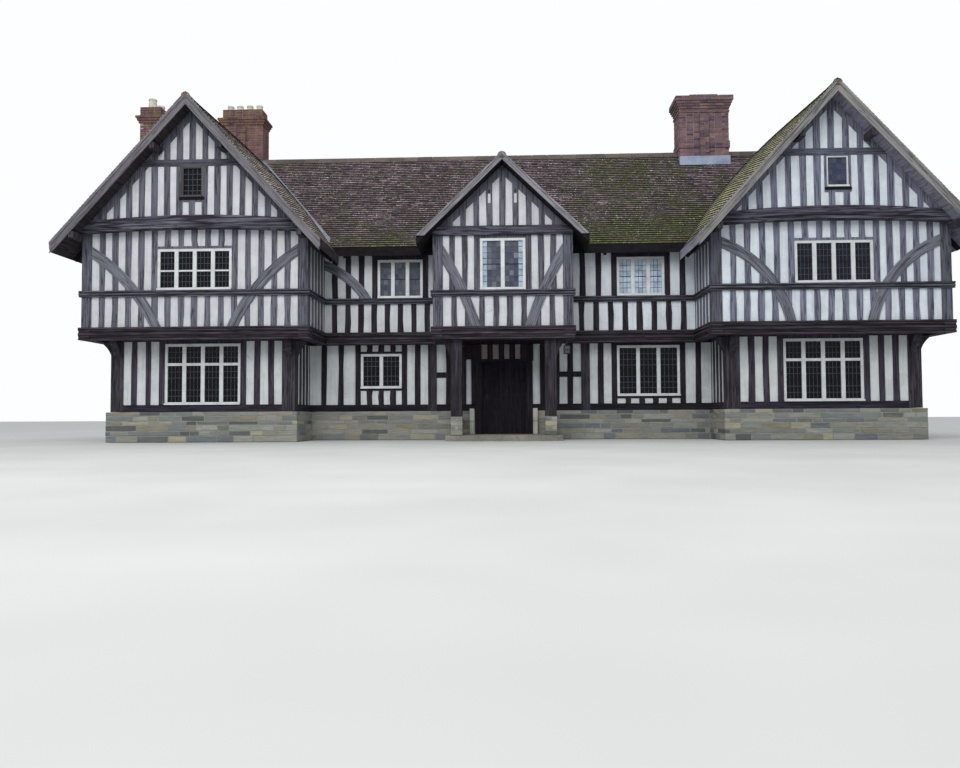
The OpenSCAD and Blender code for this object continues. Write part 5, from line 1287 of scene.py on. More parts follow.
@dataclass
class BrickStacks:
    """Bricks of the three chimneys, 215 mm by 65 mm in 75 mm courses, flush with the CAD stacks."""

    course: float = 0.075
    brick: float = 0.225
    joint: float = 0.011
    deep: float = 0.105
    inset: float = 0.009
    least: float = 0.08
    narrow: float = 0.3
    rib: tuple[float, float] = (0.28, 0.14)
    slip: float = 0.0025
    seed: int = 200

    def ring(self, lay: Lay, b: Block, level: float, k: int) -> None:
        """Lays one course round a block.

        Args:
            lay: the bricks gathered so far.
            b: the block.
            level: the course's lower level.
            k: the course's number, which turns the bond.
        """
        high = self.course - self.joint
        odd, narrow = k % 2, b.x1 - b.x0 < self.narrow
        for axis, start, end, faces in ((0, b.x0, b.x1, (b.y0, b.y1)), (1, b.y0, b.y1, (b.x0, b.x1))):
            trim = self.deep if (axis if narrow else odd == axis) else 0.0
            if end - start - 2 * trim < self.least:
                continue
            middle, long = bonded(start + trim, end - trim, self.brick, not odd, self.joint)
            for inward, face in zip((1, -1), faces):
                slip = lay.chance.uniform(0.0, self.slip, len(middle))
                lay.course(axis, middle, face + inward * (self.deep / 2 + slip), level + high / 2,
                           (long, self.deep, high))

    def fill(self, lay: Lay, b: Block) -> None:
        """Lays all courses of a block, counted from the ground so that blocks bond with each other.

        Args:
            lay: the bricks gathered so far.
            b: the block.
        """
        count = max(1, round((b.z1 - b.z0) / self.course))
        step = (b.z1 - b.z0) / count
        for k in range(count):
            self.ring(lay, b, b.z0 + k * step + self.joint / 2, k + round(b.z0 / self.course))

    def body(self, s: Stack, z0: float, z1: float, out: float = 0.0, size: tuple[float, float] | None = None) -> Block:
        """Block round a stack's middle that stands out from it, of the stack's width and depth or its own."""
        w, d = size or (s.w, s.d)
        return Block(s.x - w / 2 - out, s.x + w / 2 + out, s.y - d / 2 - out, s.y + d / 2 + out, z0, z1)

    def oversails(self, s: Stack, down: int, count: int, out: float) -> list[Block]:
        """Courses that each step out over the last, the lowest so many courses down from the stack's top."""
        c = self.course
        return [self.body(s, s.top - (down - i) * c, s.top - (down - i - 1) * c, (i + 1) * out) for i in range(count)]

    def blocks(self) -> dict[str, list[Block]]:
        """The visible blocks of each stack, by node."""
        c = self.course
        right, centre, flank = STACKS.values()
        wall = -LINES.wing_x - LINES.wing_ground_half
        left, front, rear, plinth = flank.x - flank.w / 2, flank.y - 1.05, flank.y + 1.05, 0.8
        return {
            "right_chimney": [
                self.body(right, right.foot, right.top - 5 * c),
                self.body(right, right.foot, right.top - 7 * c, size=(self.rib[0], right.d + self.rib[1])),
                self.body(right, right.top - 6.6 * c, right.top - 6.1 * c, 0.025),
                *self.oversails(right, 5, 4, 0.03125), self.body(right, right.top - c, right.top, 0.125),
                self.body(right, right.top, right.top + 0.045, size=(right.w * 0.56, right.d)),
                self.body(right, HALL.ridge + 0.02, HALL.ridge + 0.245, 0.025)],
            "centre_chimney": [
                self.body(centre, centre.foot, centre.top - 4 * c),
                self.body(centre, centre.foot, centre.top - 8 * c, size=(self.rib[0], centre.d + self.rib[1])),
                *self.oversails(centre, 7, 3, 0.03), self.body(centre, centre.top - 4 * c, centre.top, -0.04)],
            "flank_chimney": [
                self.body(flank, flank.foot, flank.top), *self.oversails(flank, 7, 3, 0.11 / 3),
                Block(left, wall - 0.0903, front, rear, 0.0, plinth),
                Block(left, wall - 0.0003, front, rear, plinth, flank.foot)],
        }

    def build(self) -> None:
        """Lays the bricks of each stack over a mortar core."""
        brick = Pattern.block()
        for i, (node, blocks) in enumerate(self.blocks().items()):
            lay = Lay(brick, self.seed + i)
            for block in blocks:
                self.fill(lay, block)
            finish = "bricks" if node == "right_chimney" else "old_bricks"
            settle(lay.piece(node.replace("chimney", "stack_bricks")), finish, stands_for=[node])
            settle(shrunken(node.replace("chimney", "stack_mortar"), node, self.inset), "lime_mortar")


@dataclass
class StonePlinths:
    """Squared rubble of the plinths in uneven courses, with rounded arrises and pale joints."""

    courses: tuple[float, ...] = (0.17, 0.125, 0.155, 0.105, 0.135, 0.11)
    porch_courses: tuple[float, ...] = (0.13, 0.11, 0.125, 0.105)
    lengths: tuple[float, ...] = (0.28, 0.42, 0.56, 0.74)
    spread: tuple[float, float] = (0.85, 1.2)
    longest: float = 0.95
    parted: float = 0.6
    lap: float = 0.8
    back: float = 0.003
    slip: float = 0.006
    arris: float = 0.011
    uneven: float = 0.0028
    deep: float = 0.14
    joint: float = 0.014
    inset: float = 0.012
    step: float = 0.09
    hall_recess: float = 0.35
    door_half: float = 0.794
    porch_wall: float = 1.22
    porch_floor: float = 0.15
    pier: tuple[float, float] = (0.605, 0.925)
    pier_half: float = 0.16
    curb_half: float = 0.1

    def face(self, lay: Lay, side: Side, line: float, start: float, end: float, low: float = 0.0,
             courses: Sequence[float] | None = None) -> None:
        """Lays the stones of one face.

        Args:
            lay: the stones gathered so far.
            side: the way that the face looks.
            line: where the face stands.
            start: where it starts along its length.
            end: where it ends.
            low: its lowest level.
            courses: heights of its courses, or the plinths' own.
        """
        level = low
        for k, high in enumerate(courses or self.courses):
            trim = self.deep * self.lap if (k + side.axis) % 2 else 0
            cuts, last = [start + trim], end - trim
            while last - cuts[-1] > self.longest:
                cuts.append(cuts[-1] + float(lay.chance.choice(self.lengths) * lay.chance.uniform(*self.spread)))
            if last - cuts[-1] > self.parted:
                cuts.append((cuts[-1] + last) / 2)
            middle, long = spans(np.array([*cuts, last]), self.joint)
            slip = lay.chance.uniform(0.0, self.slip, len(middle))
            lay.course(side.axis, middle, line + side.inward * (self.deep / 2 + slip + self.back), level + high / 2,
                       (long, self.deep, high - self.joint))
            level += high

    def finish(self, lay: Lay, stones: str, pointing: str, node: str) -> None:
        """Lays gathered stones in place of a node, over a core of pointing."""
        settle(lay.piece(stones), "stones", stands_for=[node])
        settle(shrunken(pointing, node, self.inset), "pointing")

    def build(self) -> None:
        """Lays the stones of the wings', the hall range's and the porch's stone walls."""
        n, stone, step = LINES, Pattern.block(self.arris), self.step
        front, rear = n.wing_ground_front - step, n.wing_rear + step
        hall_front, hall_rear = n.hall_front + self.hall_recess - step, n.hall_rear + step
        for i, (name, s) in enumerate((("left_wing_", -1), ("right_wing_", 1))):
            lay = Lay(stone, 300 + i, self.uneven)
            low, high = s * n.wing_x - n.wing_ground_half - step, s * n.wing_x + n.wing_ground_half + step
            outer, inner = (low, high) if s < 0 else (high, low)
            self.face(lay, Side.FRONT, front, low, high)
            self.face(lay, Side.REAR, rear, low, high)
            self.face(lay, FLANKS[s], outer, front, rear)
            for a, b in ((front, hall_front), (hall_rear, rear)):
                self.face(lay, FLANKS[-s], inner, a, b)
            self.finish(lay, name + "stones", name + "pointing", name + "plinth")
        lay = Lay(stone, 310, self.uneven)
        half = n.wing_x - n.wing_ground_half - step
        for a, b in ((-half, n.porch_x - self.door_half), (n.porch_x + self.door_half, half)):
            self.face(lay, Side.FRONT, hall_front, a, b)
        self.face(lay, Side.REAR, hall_rear, -half, half)
        self.finish(lay, "hall_stones", "hall_pointing", "hall_plinth")
        lay = Lay(stone, 311, self.uneven)
        for s in (-1, 1):
            x, (near, far) = n.porch_x + s * self.porch_wall, self.pier
            faces = [(side, x + way * half, a, b) for half, a, b in ((self.curb_half, 0.91, hall_front),
                                                                     (self.pier_half, near, far))
                     for way, side in FLANKS.items()]
            faces += [(side, line, x - self.pier_half, x + self.pier_half)
                      for side, line in ((Side.FRONT, near), (Side.REAR, far))]
            for face in faces:
                self.face(lay, *face, self.porch_floor, self.porch_courses)
        self.finish(lay, "porch_stones", "porch_pointing", "porch_bases")


@dataclass(frozen=True)
class Light:
    """Window: its side, its wall's line, middle, width, sill, head, lights, transom or 0, tone of its glass, which
    paints a reflection of the sky when pale, level of an oak bar or 0, and how pale a curtain hangs at its ends."""

    side: Side
    line: float
    u: float
    w: float
    z0: float
    z1: float
    lights: int
    transom: float = 0.0
    tone: float = 0.0
    bar: float = 0.0
    curtain: float = 0.0

    def spot(self, u: float, deep: float, z: float) -> np.ndarray:
        """Point of the row frame for a place on the window's wall.

        Args:
            u: place along the wall.
            deep: depth behind the wall's outer face.
            z: level.

        Returns:
            The point.
        """
        line = self.line + self.side.inward * deep
        x, y = (line, u) if self.side.axis else (u, line)
        return np.array([x - LINES.middle_x, y - LINES.middle_y, z])


@dataclass
class LeadedWindows:
    """Leaded lights: panes that each lean their own way, lead cames between them, and iron or oak bars."""

    rim: float = 0.07
    thin_rim: float = 0.035
    mullion: float = 0.1
    glass: float = 0.056
    pane: tuple[float, float] = (0.105, 0.15)
    pane_behind: float = 0.006
    pane_lap: float = 0.004
    lean: float = 0.006
    came: tuple[float, float] = (0.0095, 0.008)
    tall: float = 0.8
    # Lights whose glass tone, a painted sky reflection, passes this get the darker cames
    against_sky: float = 0.6

    def ground(self) -> list[Light]:
        """Windows of the ground storey."""
        n, top = LINES, 2.58
        found = [Light(side, line, wing.line, 2.01, 0.98, top, 4, 2.04) for wing in WINGS.values()
                 for side, line in ((Side.FRONT, n.wing_ground_front), (Side.REAR, n.wing_rear))]
        found += [Light(side, s * (n.wing_x + n.wing_ground_half), 2.9, 1.29, 1.18, top, 3)
                  for s, side in FLANKS.items()]
        return found + [Light(Side.FRONT, 2.15, -3.55, 1.15, 1.43, 2.4, 2),
                        Light(Side.FRONT, 2.15, 3.85, 1.72, 1.18, top, 3),
                        Light(Side.REAR, n.hall_rear, 0, 1.72, 1.18, top, 3)]

    def upper(self) -> list[Light]:
        """Windows of the upper storey; only the left wing's front one has an oak bar."""
        n, z0, z1 = LINES, 3.9, 4.97
        found = [Light(side, line, u, 1.93, z0, z1, 4, tone=tone, bar=bar)
                 for u, tone, bars in ((-n.wing_x, 0.04, (4.4, 0.0)), (n.wing_x + 0.085, 0.25, (0.0, 0.0)))
                 for side, line, bar in ((Side.FRONT, 0, bars[0]), (Side.REAR, n.wing_rear, bars[1]))]
        found += [Light(side, s * (n.wing_x + n.wing_half), 2.9, 1.29, z0, z1, 3) for s, side in FLANKS.items()]
        return found + [Light(Side.FRONT, n.hall_front, -2.97, 1.25, z0, z1, 3, tone=0.56),
                        Light(Side.FRONT, n.hall_front, 3.61, 1.29, z0, z1, 3, tone=0.92),
                        Light(Side.FRONT, n.porch_front, n.porch_x, 1.18, z0, 5.25, 2, tone=0.57, curtain=0.28),
                        Light(Side.REAR, n.hall_rear, 0, 1.29, z0, z1, 3)]

    def attic(self) -> list[Light]:
        """Windows of the gables."""
        n = LINES
        return [Light(side, line, u, 0.53, 6.24, 7.02, 1, tone=tone)
                for u, tone in ((-n.wing_x, 0.05), (n.wing_x + 0.14, 0.48))
                for side, line in ((Side.FRONT, n.gable_face), (Side.REAR, n.wing_rear))]

    def quarries(self, w: Light, i: int, u0: float, wide: float, z0: float, z1: float, lays: Sequence[Lay]) -> None:
        """Fills one light with its panes, cames and saddle bar.

        Args:
            w: the window.
            i: the light's number.
            u0: where the light starts along the wall.
            wide: its width.
            z0: its lower level.
            z1: its upper level.
            lays: panes, cames and saddle bars gathered so far.
        """
        panes, cames, bars = lays
        turn, (broad, deep) = w.side.turn, self.came
        cols, rows = max(2, round(wide / self.pane[0])), max(2, round((z1 - z0) / self.pane[1]))
        du, dz = wide / cols, (z1 - z0) / rows
        for c in range(cols):
            for k in range(rows):
                at = w.spot(u0 + (c + 0.5) * du, self.glass + self.pane_behind, z0 + (k + 0.5) * dz)
                hung = w.curtain if (i, c) in ((0, 0), (w.lights - 1, cols - 1)) else 0.0
                tone = w.tone * panes.chance.uniform(0.9, 1.1) + panes.chance.uniform(0, 0.08) + hung
                panes.rows(at, turn, (du + self.pane_lap, dz + self.pane_lap, 0.004), np.array([min(tone, 1.0)]),
                           swing=self.lean)
        for c in range(1, cols):
            cames.rows(w.spot(u0 + c * du, self.glass, (z0 + z1) / 2), turn, (broad, z1 - z0, deep))
        for k in range(1, rows):
            cames.rows(w.spot(u0 + wide / 2, self.glass, z0 + k * dz), turn, (wide, broad, deep))
        if z1 - z0 > self.tall and not w.bar:
            middle = z0 + round(rows / 2) * dz
            bars.rows(w.spot(u0 + wide / 2, self.glass - 0.009, middle), turn, (wide, 0.013, 0.013))

    def glaze(self, w: Light, lays: Sequence[Lay], oak: Lay) -> None:
        """Fills one window's lights.

        Args:
            w: the window.
            lays: panes, cames and saddle bars gathered so far.
            oak: painted glazing bars gathered so far.
        """
        rim = self.rim if w.lights > 1 else self.thin_rim
        wide = (w.w - 2 * rim - (w.lights - 1) * self.mullion) / w.lights
        low, high = w.z0 + rim, w.z1 - rim
        levels = [(low, w.transom - rim / 2), (w.transom + rim / 2, high)] if w.transom else [(low, high)]
        for i in range(w.lights):
            u0 = w.u - w.w / 2 + rim + i * (wide + self.mullion)
            for z0, z1 in levels:
                self.quarries(w, i, u0, wide, z0, z1, lays)
            if w.bar:
                oak.rows(w.spot(u0 + wide / 2, self.glass - 0.014, w.bar), w.side.turn, (wide, 0.04, 0.034))

    def build(self) -> None:
        """Glazes all storeys and sets the attic windows' sills."""
        flat, bar = Pattern.block(), Pattern.block(0.003)
        for i, (storey, windows) in enumerate((("ground", self.ground()), ("upper", self.upper()),
                                               ("attic", self.attic()))):
            panes, cames, sky_cames = Lay(flat, 400 + i), Lay(flat, 410), Lay(flat, 440)
            bars, oak = Lay(bar, 420), Lay(bar, 430)
            for window in windows:
                self.glaze(window, (panes, sky_cames if window.tone > self.against_sky else cames, bars), oak)
            settle(panes.piece(storey + "_panes"), "panes", stands_for=[storey + "_glass"])
            for lay, what, finish, slot in ((cames, "_cames", "cames", "lead"),
                                            (oak, "_glazing_bars", "paint", "window_paint"),
                                            (bars, "_saddle_bars", "iron", "lantern"),
                                            (sky_cames, "_sky_cames", "dark_cames", "lead")):
                if lay.gathered:
                    settle(lay.piece(storey + what), finish)
        sills = Lay(Pattern.block(0.008), 450, 0.003)
        for w in self.attic():
            sills.rows(w.spot(w.u, -0.012, w.z0 - 0.035), w.side.turn, (w.w + 0.12, 0.065, 0.05))
        # The sills take the near-black soffit finish: a dark oak sill with painted shade under it
        settle(sills.piece("attic_sills"), "soffit")


@dataclass
class PlankDoor:
    """Boards, nails, ring handle and lock plate on the front door's leaf."""

    boards: int = 8
    proud: float = 0.007
    half: float = 0.62
    stop: float = 0.034
    gap: float = 0.002
    nail: tuple[float, float, float] = (0.022, 0.022, 0.008)
    nail_rows: tuple[float, ...] = (0.16, 0.62, 1.08, 1.54, 1.86)
    nails_across: tuple[float, ...] = (0.28, 0.72)

    def disc(self, at: Vector, wide: float, high: float, sides: int, deep: float, bevel: float) -> Piece:
        """Cuts an oval plate with its back on the boards.

        Args:
            at: the middle of its back.
            wide: half of its width.
            high: half of its height.
            sides: how many edges its outline has.
            deep: how far it stands out.
            bevel: how far its edges are worn.

        Returns:
            The plate.
        """
        turns = np.linspace(0, 2 * math.pi, sides, endpoint=False)
        return cut_board([(at[0] + wide * math.cos(a), at[1], at[2] + high * math.sin(a)) for a in turns],
                         (0, -deep, 0), bevel)

    def build(self) -> None:
        """Dresses the leaf with boards that stand proud between the frame's stops."""
        low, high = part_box(DOOR)
        x0, x1 = (LINES.at(LINES.porch_x + s * (self.half - self.stop), 0, 0).x for s in (-1, 1))
        face, step = low.y - self.proud, (x1 - x0) / self.boards
        planks, nails = Lay(Pattern.block(0.006), 500), Lay(Pattern.dome(), 501)
        out = np.array([[1, 0, 0], [0, 0, -1], [0, 1, 0]], float)
        for i in range(self.boards):
            planks.box((x0 + i * step + self.gap, face, low.z + 0.012),
                       (x0 + (i + 1) * step - self.gap, low.y + 0.01, high.z - self.stop))
            for z in self.nail_rows:
                for u in self.nails_across:
                    nails.rows((x0 + (i + u) * step, face - 0.002, low.z + z), out, self.nail)
        settle(planks.piece("door_planks"), "door", DOOR)
        settle(nails.piece("door_nails"), "iron", DOOR)
        deselect()
        x, z = x0 + 0.11, low.z + 0.98
        bpy.ops.mesh.primitive_torus_add(location=(x, low.y - 0.03, z), rotation=(math.radians(80), 0, 0),
                                         major_radius=0.055, minor_radius=0.007, major_segments=36, minor_segments=10)
        ring = bpy.context.object
        bpy.ops.object.transform_apply(location=True, rotation=True, scale=True)
        plate = self.disc((x, face, z + 0.05), 0.045, 0.06, 12, 0.006, 0.002)
        boss = self.disc((x, face, z + 0.055), 0.014, 0.014, 10, 0.032, 0.003)
        settle(join("door_ring_handle", [ring, plate, boss]), "iron", DOOR)


def mark_grain(piece: Piece, lies: Callable[[Vector], tuple[float, float, float]]) -> Piece:
    """Writes on each corner of a piece how far it lies along, across and into the timber's fibres.

    Args:
        piece: the piece.
        lies: takes a point of the row frame and gives the three distances in metres.

    Returns:
        The same piece.
    """
    marks = piece.data.attributes.new("grain", "FLOAT_VECTOR", "POINT")
    values = [value for corner in piece.data.vertices for value in lies(corner.co)]
    marks.data.foreach_set("vector", values)
    return piece


@dataclass
class CurvedBraces:
    """Faces of the curved braces, 12 mm proud of the studs that they cross, with fibres that follow the curve."""

    width: float = 0.255
    proud: float = 0.012
    bed: float = 0.004
    steps: int = 30
    over: float = 0.3
    inside: float = 0.001
    sill: float = 2.96

    @staticmethod
    def ring(points: Sequence[tuple[float, float]]) -> tuple[float, float, float]:
        """Middle and radius of the circle through three points.

        Args:
            points: the points, as places across and levels.

        Returns:
            The middle's place and level, and the radius.
        """
        (ax, az), (bx, bz), (cx, cz) = points
        a2, b2, c2 = (x * x + z * z for x, z in points)
        d = 2 * (ax * (bz - cz) + bx * (cz - az) + cx * (az - bz))
        ox = (a2 * (bz - cz) + b2 * (cz - az) + c2 * (az - bz)) / d
        oz = (a2 * (cx - bx) + b2 * (ax - cx) + c2 * (bx - ax)) / d
        return ox, oz, math.hypot(ax - ox, az - oz)

    def brace(self, line: float, way: int, middle: float, side: int, arc: Sequence[tuple[float, float]],
              low: float) -> Piece:
        """Bends one brace through three points and saws its ends at its post and its sill.

        Args:
            line: place of the wall's face along Y.
            way: -1 where the wall looks to the front, 1 where it looks to the rear.
            middle: middle of the front that the brace belongs to.
            side: -1 for a brace left of the middle, 1 for one on the right.
            arc: its upper end, a point of its middle line and its lower end, as distances from the middle and levels.
            low: level where its foot is sawn off.

        Returns:
            The brace.
        """
        ox, oz, radius = self.ring(arc)
        start, end = (math.atan2(z - oz, x - ox) for x, z in (arc[0], arc[2]))
        turn = (end - start + math.pi) % (2 * math.pi) - math.pi
        over = self.over * math.copysign(1, turn) / radius
        deselect()
        bpy.ops.mesh.primitive_grid_add(x_subdivisions=self.steps, y_subdivisions=2, size=2)
        piece = bpy.context.object
        for v in piece.data.vertices:
            angle = start - over + (turn + 2 * over) * (v.co.x + 1) / 2
            r = radius + v.co.y * self.width / 2
            v.co = LINES.at(middle + side * (ox + r * math.cos(angle)), line - way * self.bed,
                            oz + r * math.sin(angle))
        edit_all()
        pull((0, way * (self.proud + self.bed), 0))
        for at, normal in ((LINES.at(middle + side * (arc[0][0] - self.inside), 0, 0), (side, 0, 0)),
                           (LINES.at(0, 0, low + self.inside), (0, 0, -1))):
            bpy.ops.mesh.select_all(action="SELECT")
            bpy.ops.mesh.bisect(plane_co=at, plane_no=normal, use_fill=True, clear_outer=True, threshold=0.0001)
        bpy.ops.mesh.select_all(action="SELECT")
        bpy.ops.mesh.normals_make_consistent(inside=False)
        deselect()

        def lies(p: Vector) -> tuple[float, float, float]:
            """Place of a point along, into and across the bent fibres."""
            u, z = side * (p.x + LINES.middle_x - middle) - ox, p.z - oz
            return math.atan2(z, u) * radius + middle * 3 + side, p.y, math.hypot(u, z) - radius + side * 2
        return mark_grain(piece, lies)

    def build(self) -> None:
        """Makes the braces of the wings' fronts and rears, of the porch and of the hall range's left bay."""
        n, sill = LINES, self.sill
        far = ((2.67, 4.9), (1.72, 4.08), (0.99, sill))
        near = ((2.67, 4.94), (1.62, 4.2), (1.0, sill))
        fronts = ((0.0, -1, -n.wing_x, far), (n.wing_rear, 1, -n.wing_x, far), (0.0, -1, n.wing_x, near),
                  (n.wing_rear, 1, n.wing_x, far),
                  (n.porch_front, -1, n.porch_x, ((1.55, 4.85), (1.08, 3.96), (0.7, sill))))
        made = [self.brace(*wall, side, arc, sill) for *wall, arc in fronts for side in (-1, 1)]
        hall_left = ((5.07, 4.83), (4.42, 4.47), (3.82, 3.74))
        made.append(self.brace(n.hall_front, -1, 0.0, -1, hall_left, 3.9))
        settle(join("brace_faces", made), "braces")


@dataclass
class Bargeboards:
    """Bargeboards in three layers along each verge: a broad back board, a strip at its top, a bead at its foot."""

    high: float = 0.31
    strip: float = 0.1
    bead: float = 0.04
    back: float = 0.026
    bead_back: float = 0.007
    porch_share: float = 0.65
    foot: float = 0.12
    mitre: float = 0.09
    apex: float = 0.001
    arris: float = 0.003

    def board(self, roof: Roof, y: float, way: int, side: int, top: float, low: float,
              out: tuple[float, float]) -> Piece:
        """Saws one board with a rounded foot, or on the porch a square one.

        Args:
            roof: the roof of the gable.
            y: line of the verge.
            way: -1 for a front gable, 1 for a rear one.
            side: -1 for the left board, 1 for the right.
            top: how far the board's top lies under the roof's surface.
            low: how far its lower edge lies under it.
            out: how far its back and its face stand in front of the verge.

        Returns:
            The board, with fibres that run up the rake.
        """
        def point(u: float, drop: float) -> Vector:
            """Corner of the board's back, by its place from the ridge and under the roof's face."""
            return roof.at(side * u, y + way * out[0], drop)
        if roof is PORCH:
            end = [point(roof.eave - drop / roof.pitch, drop) for drop in (top, low)]
        else:
            start = max(top, 0.45 * low)
            end = [point(roof.eave, top)]
            end += [point(roof.eave - self.foot * (1 - math.cos(a)), start + (low - start) * math.sin(a))
                    for a in np.linspace(0, math.pi / 2, 5)]
        cut = top + self.mitre * roof.pitch
        head = [point(self.apex, cut), point(self.mitre, top)] if cut < low else [point(self.apex, top)]
        piece = cut_board([*head, *end, point(self.apex, low)], (0, way * (out[1] - out[0]), 0), self.arris)

        def lies(p: Vector) -> tuple[float, float, float]:
            """Place of a point up the rake, into the board and under the roof's face.

            Args:
                p: point of the row frame.

            Returns:
                The three measures, which the grain is drawn along.
            """
            u = side * (p.x + LINES.middle_x - roof.line)
            drop = roof.ridge - roof.pitch * u - p.z
            return u * roof.steep + side * 7 + roof.line, p.y, drop / roof.steep + roof.line
        return mark_grain(piece, lies)

    def build(self) -> None:
        """Makes the layers of all ten boards."""
        n, made = LINES, []
        verges = [(wing, y, way, 1.0) for wing in WINGS.values() for y, way in ((n.verge, -1), (n.rear_verge, 1))]
        for roof, y, way, share in (*verges, (PORCH, n.porch_verge, -1, self.porch_share)):
            high = self.high * share
            for side in (-1, 1):
                for layer in ((0.0, high, (0.0, self.back)), (0.0, self.strip * share, (self.back, n.board)),
                              (high - self.bead * share, high, (self.back, n.board - self.bead_back))):
                    made.append(self.board(roof, y, way, side, *layer))
        settle(join("barge_layers", made), "boards", stands_for=["bargeboards"])


@dataclass
class LeadWork:
    """Lead of the valleys between the wings and the hall range, dressed over the tiles."""

    broad: float = 0.045
    bare: float = 0.3
    foot: float = 0.19
    lift: float = 0.021 * 1.45
    thick: float = 0.004
    far: float = 3.15
    near: float = 0.3

    def valley(self, side: int, back: int, broad: float) -> Piece:
        """One valley's strip, folded along the valley's line.

        Args:
            side: -1 for the left wing, 1 for the right.
            back: -1 for the front, 1 for the rear.
            broad: its width on the hall range's side.

        Returns:
            The strip.
        """
        over = WING.ridge - HALL.ridge

        def line(d: float, toward_wing: float) -> Vector:
            """Point of the strip.

            Args:
                d: its distance across from the hall range's ridge.
                toward_wing: its distance across from the valley, below 0 toward the hall range.

            Returns:
                The point in the row frame.
            """
            x = WING.line - (over + HALL.pitch * d) / WING.pitch
            z = HALL.ridge - HALL.pitch * d
            if toward_wing > 0:
                x, z = x + toward_wing, z + WING.pitch * toward_wing
            else:
                d, z = d + toward_wing, z - HALL.pitch * toward_wing
            return LINES.at(side * x, HALL.line + back * d, z + self.lift)
        far, near = self.far, max(self.near, over / WING.pitch)
        return join("valley", [cut_board([line(far, 0), line(near, 0), line(near, toward),
                                          line(far, max(toward, -self.foot))], (0, 0, self.thick))
                               for toward in (self.broad * 1.3, -broad)])

    def build(self) -> None:
        """Lays the valleys; at the right wing's front the tiles close over theirs."""
        strips = [self.valley(*place) for place in ((-1, -1, self.bare), (-1, 1, self.broad), (1, 1, self.broad))]
        settle(join("valley_lead", strips), "valley_lead")


@dataclass
class RafterFeet:
    """Feet of the rafters under the eaves, 75 mm by 95 mm and 0.42 m apart."""

    wide: float = 0.075
    high: float = 0.095
    pitch: float = 0.42
    below: float = 0.001
    set_back: float = 0.03
    swing: float = 0.004
    hall_reach: float = 0.5

    def row(self, lay: Lay, roof: Roof, side: int, start: float, end: float, reach: float) -> None:
        """Hangs a row of feet under a slope's lower face.

        Args:
            lay: the feet gathered so far.
            roof: the roof.
            side: -1 or 1 for the slope.
            start: where the row starts along the ridge.
            end: where it ends.
            reach: how far a foot shows up the slope.
        """
        turn, low = roof.turn(side), roof.at(side * roof.eave, start, LINES.slab * roof.steep + self.below)
        length = end - start
        count = int(length / self.pitch)
        first = (length - (count - 1) * self.pitch) / 2
        for i in range(count):
            at = (low + roof.along * (first + i * self.pitch) + roof.up(side) * (reach / 2 + self.set_back)
                  - Vector(turn[:, 2]) * (self.high / 2))
            lay.rows(np.array(at), turn, (self.wide, reach, self.high), swing=self.swing)

    def build(self) -> None:
        """Sets the feet of all long eaves, on the wings' inner sides only where the hall range leaves them free."""
        lay = Lay(Pattern.block(0.006), 600)
        reach = (WING.eave - LINES.wing_half) * WING.steep - 2 * self.set_back
        for s, wing in WINGS.items():
            for side in (-1, 1):
                for start, end in ((0.1, 1.2), (7.95, 8.3)) if s != side else ((0.1, 8.3),):
                    self.row(lay, wing, side, start, end, reach)
        for side, start, end in ((-1, -4.7, -2.5), (-1, 2.2, 4.7), (1, -4.7, 4.7)):
            self.row(lay, HALL, side, start, end, self.hall_reach)
        # The feet take the soffit finish, near black as painted eave shade
        settle(lay.piece("rafter_feet"), "soffit")


@dataclass
class PorchLantern:
    """Hanging lantern with an iron cap, a ring, four glazed sides and corner bars."""

    drop: float = 0.189
    half: float = 0.075
    corner: float = 0.008
    bar: float = 0.006
    bar_high: float = 0.013
    pane: float = 0.002
    cap: float = 0.06
    neck: float = 0.03

    def cap_of(self, x: float, y: float, top: float, high: float) -> Piece:
        """Makes the cap and draws its top up to the bracket.

        Args:
            x: middle of the lantern.
            y: the same along Y.
            top: level of the top of its body.
            high: level where it hangs.

        Returns:
            The cap.
        """
        deselect()
        bpy.ops.mesh.primitive_cone_add(vertices=4, radius1=0.098, radius2=0.03, depth=self.cap,
                                        location=(x, y, top + self.cap / 2), rotation=(0, 0, math.pi / 4))
        cap = bpy.context.object
        bpy.ops.object.transform_apply(location=True, rotation=True, scale=True)
        bpy.ops.object.mode_set(mode="EDIT")
        chosen(cap, lambda middle, normal: normal.z > 0.9)
        pull((0, 0, self.neck))
        bpy.ops.mesh.inset(thickness=0.012)
        stem = high - top - self.cap - self.neck
        pull((0, 0, stem))
        deselect()
        return cap

    def build(self) -> None:
        """Makes the lantern inside its CAD box."""
        low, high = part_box("porch_lantern")
        x, y = (low.x + high.x) / 2, (low.y + high.y) / 2
        top, half, ways = high.z - self.drop, self.half, (-1, 1)
        cap = self.cap_of(x, y, top, high.z)
        bars, glass = Lay(Pattern.block(0.002), 700), Lay(Pattern.block(0.001), 701)
        for sx in ways:
            for sy in ways:
                bars.post(x + sx * half, y + sy * half, self.corner, self.corner, low.z, top)
        for z in (low.z, low.z + 0.1, top - 0.014):
            for s in ways:
                bars.post(x, y + s * half, half, self.bar, z, z + self.bar_high)
                bars.post(x + s * half, y, self.bar, half, z, z + self.bar_high)
        settle(join("lantern_iron", [cap, bars.piece("lantern_bars")]), "iron", stands_for=["porch_lantern"])
        for s in ways:
            inset = s * (half - 2 * self.pane)
            glass.post(x, y + inset, half, self.pane, low.z + 0.01, top - 0.01)
            glass.post(x + inset, y, self.pane, half, low.z + 0.01, top - 0.01)
        settle(glass.piece("lantern_panes"), "lantern_glass")


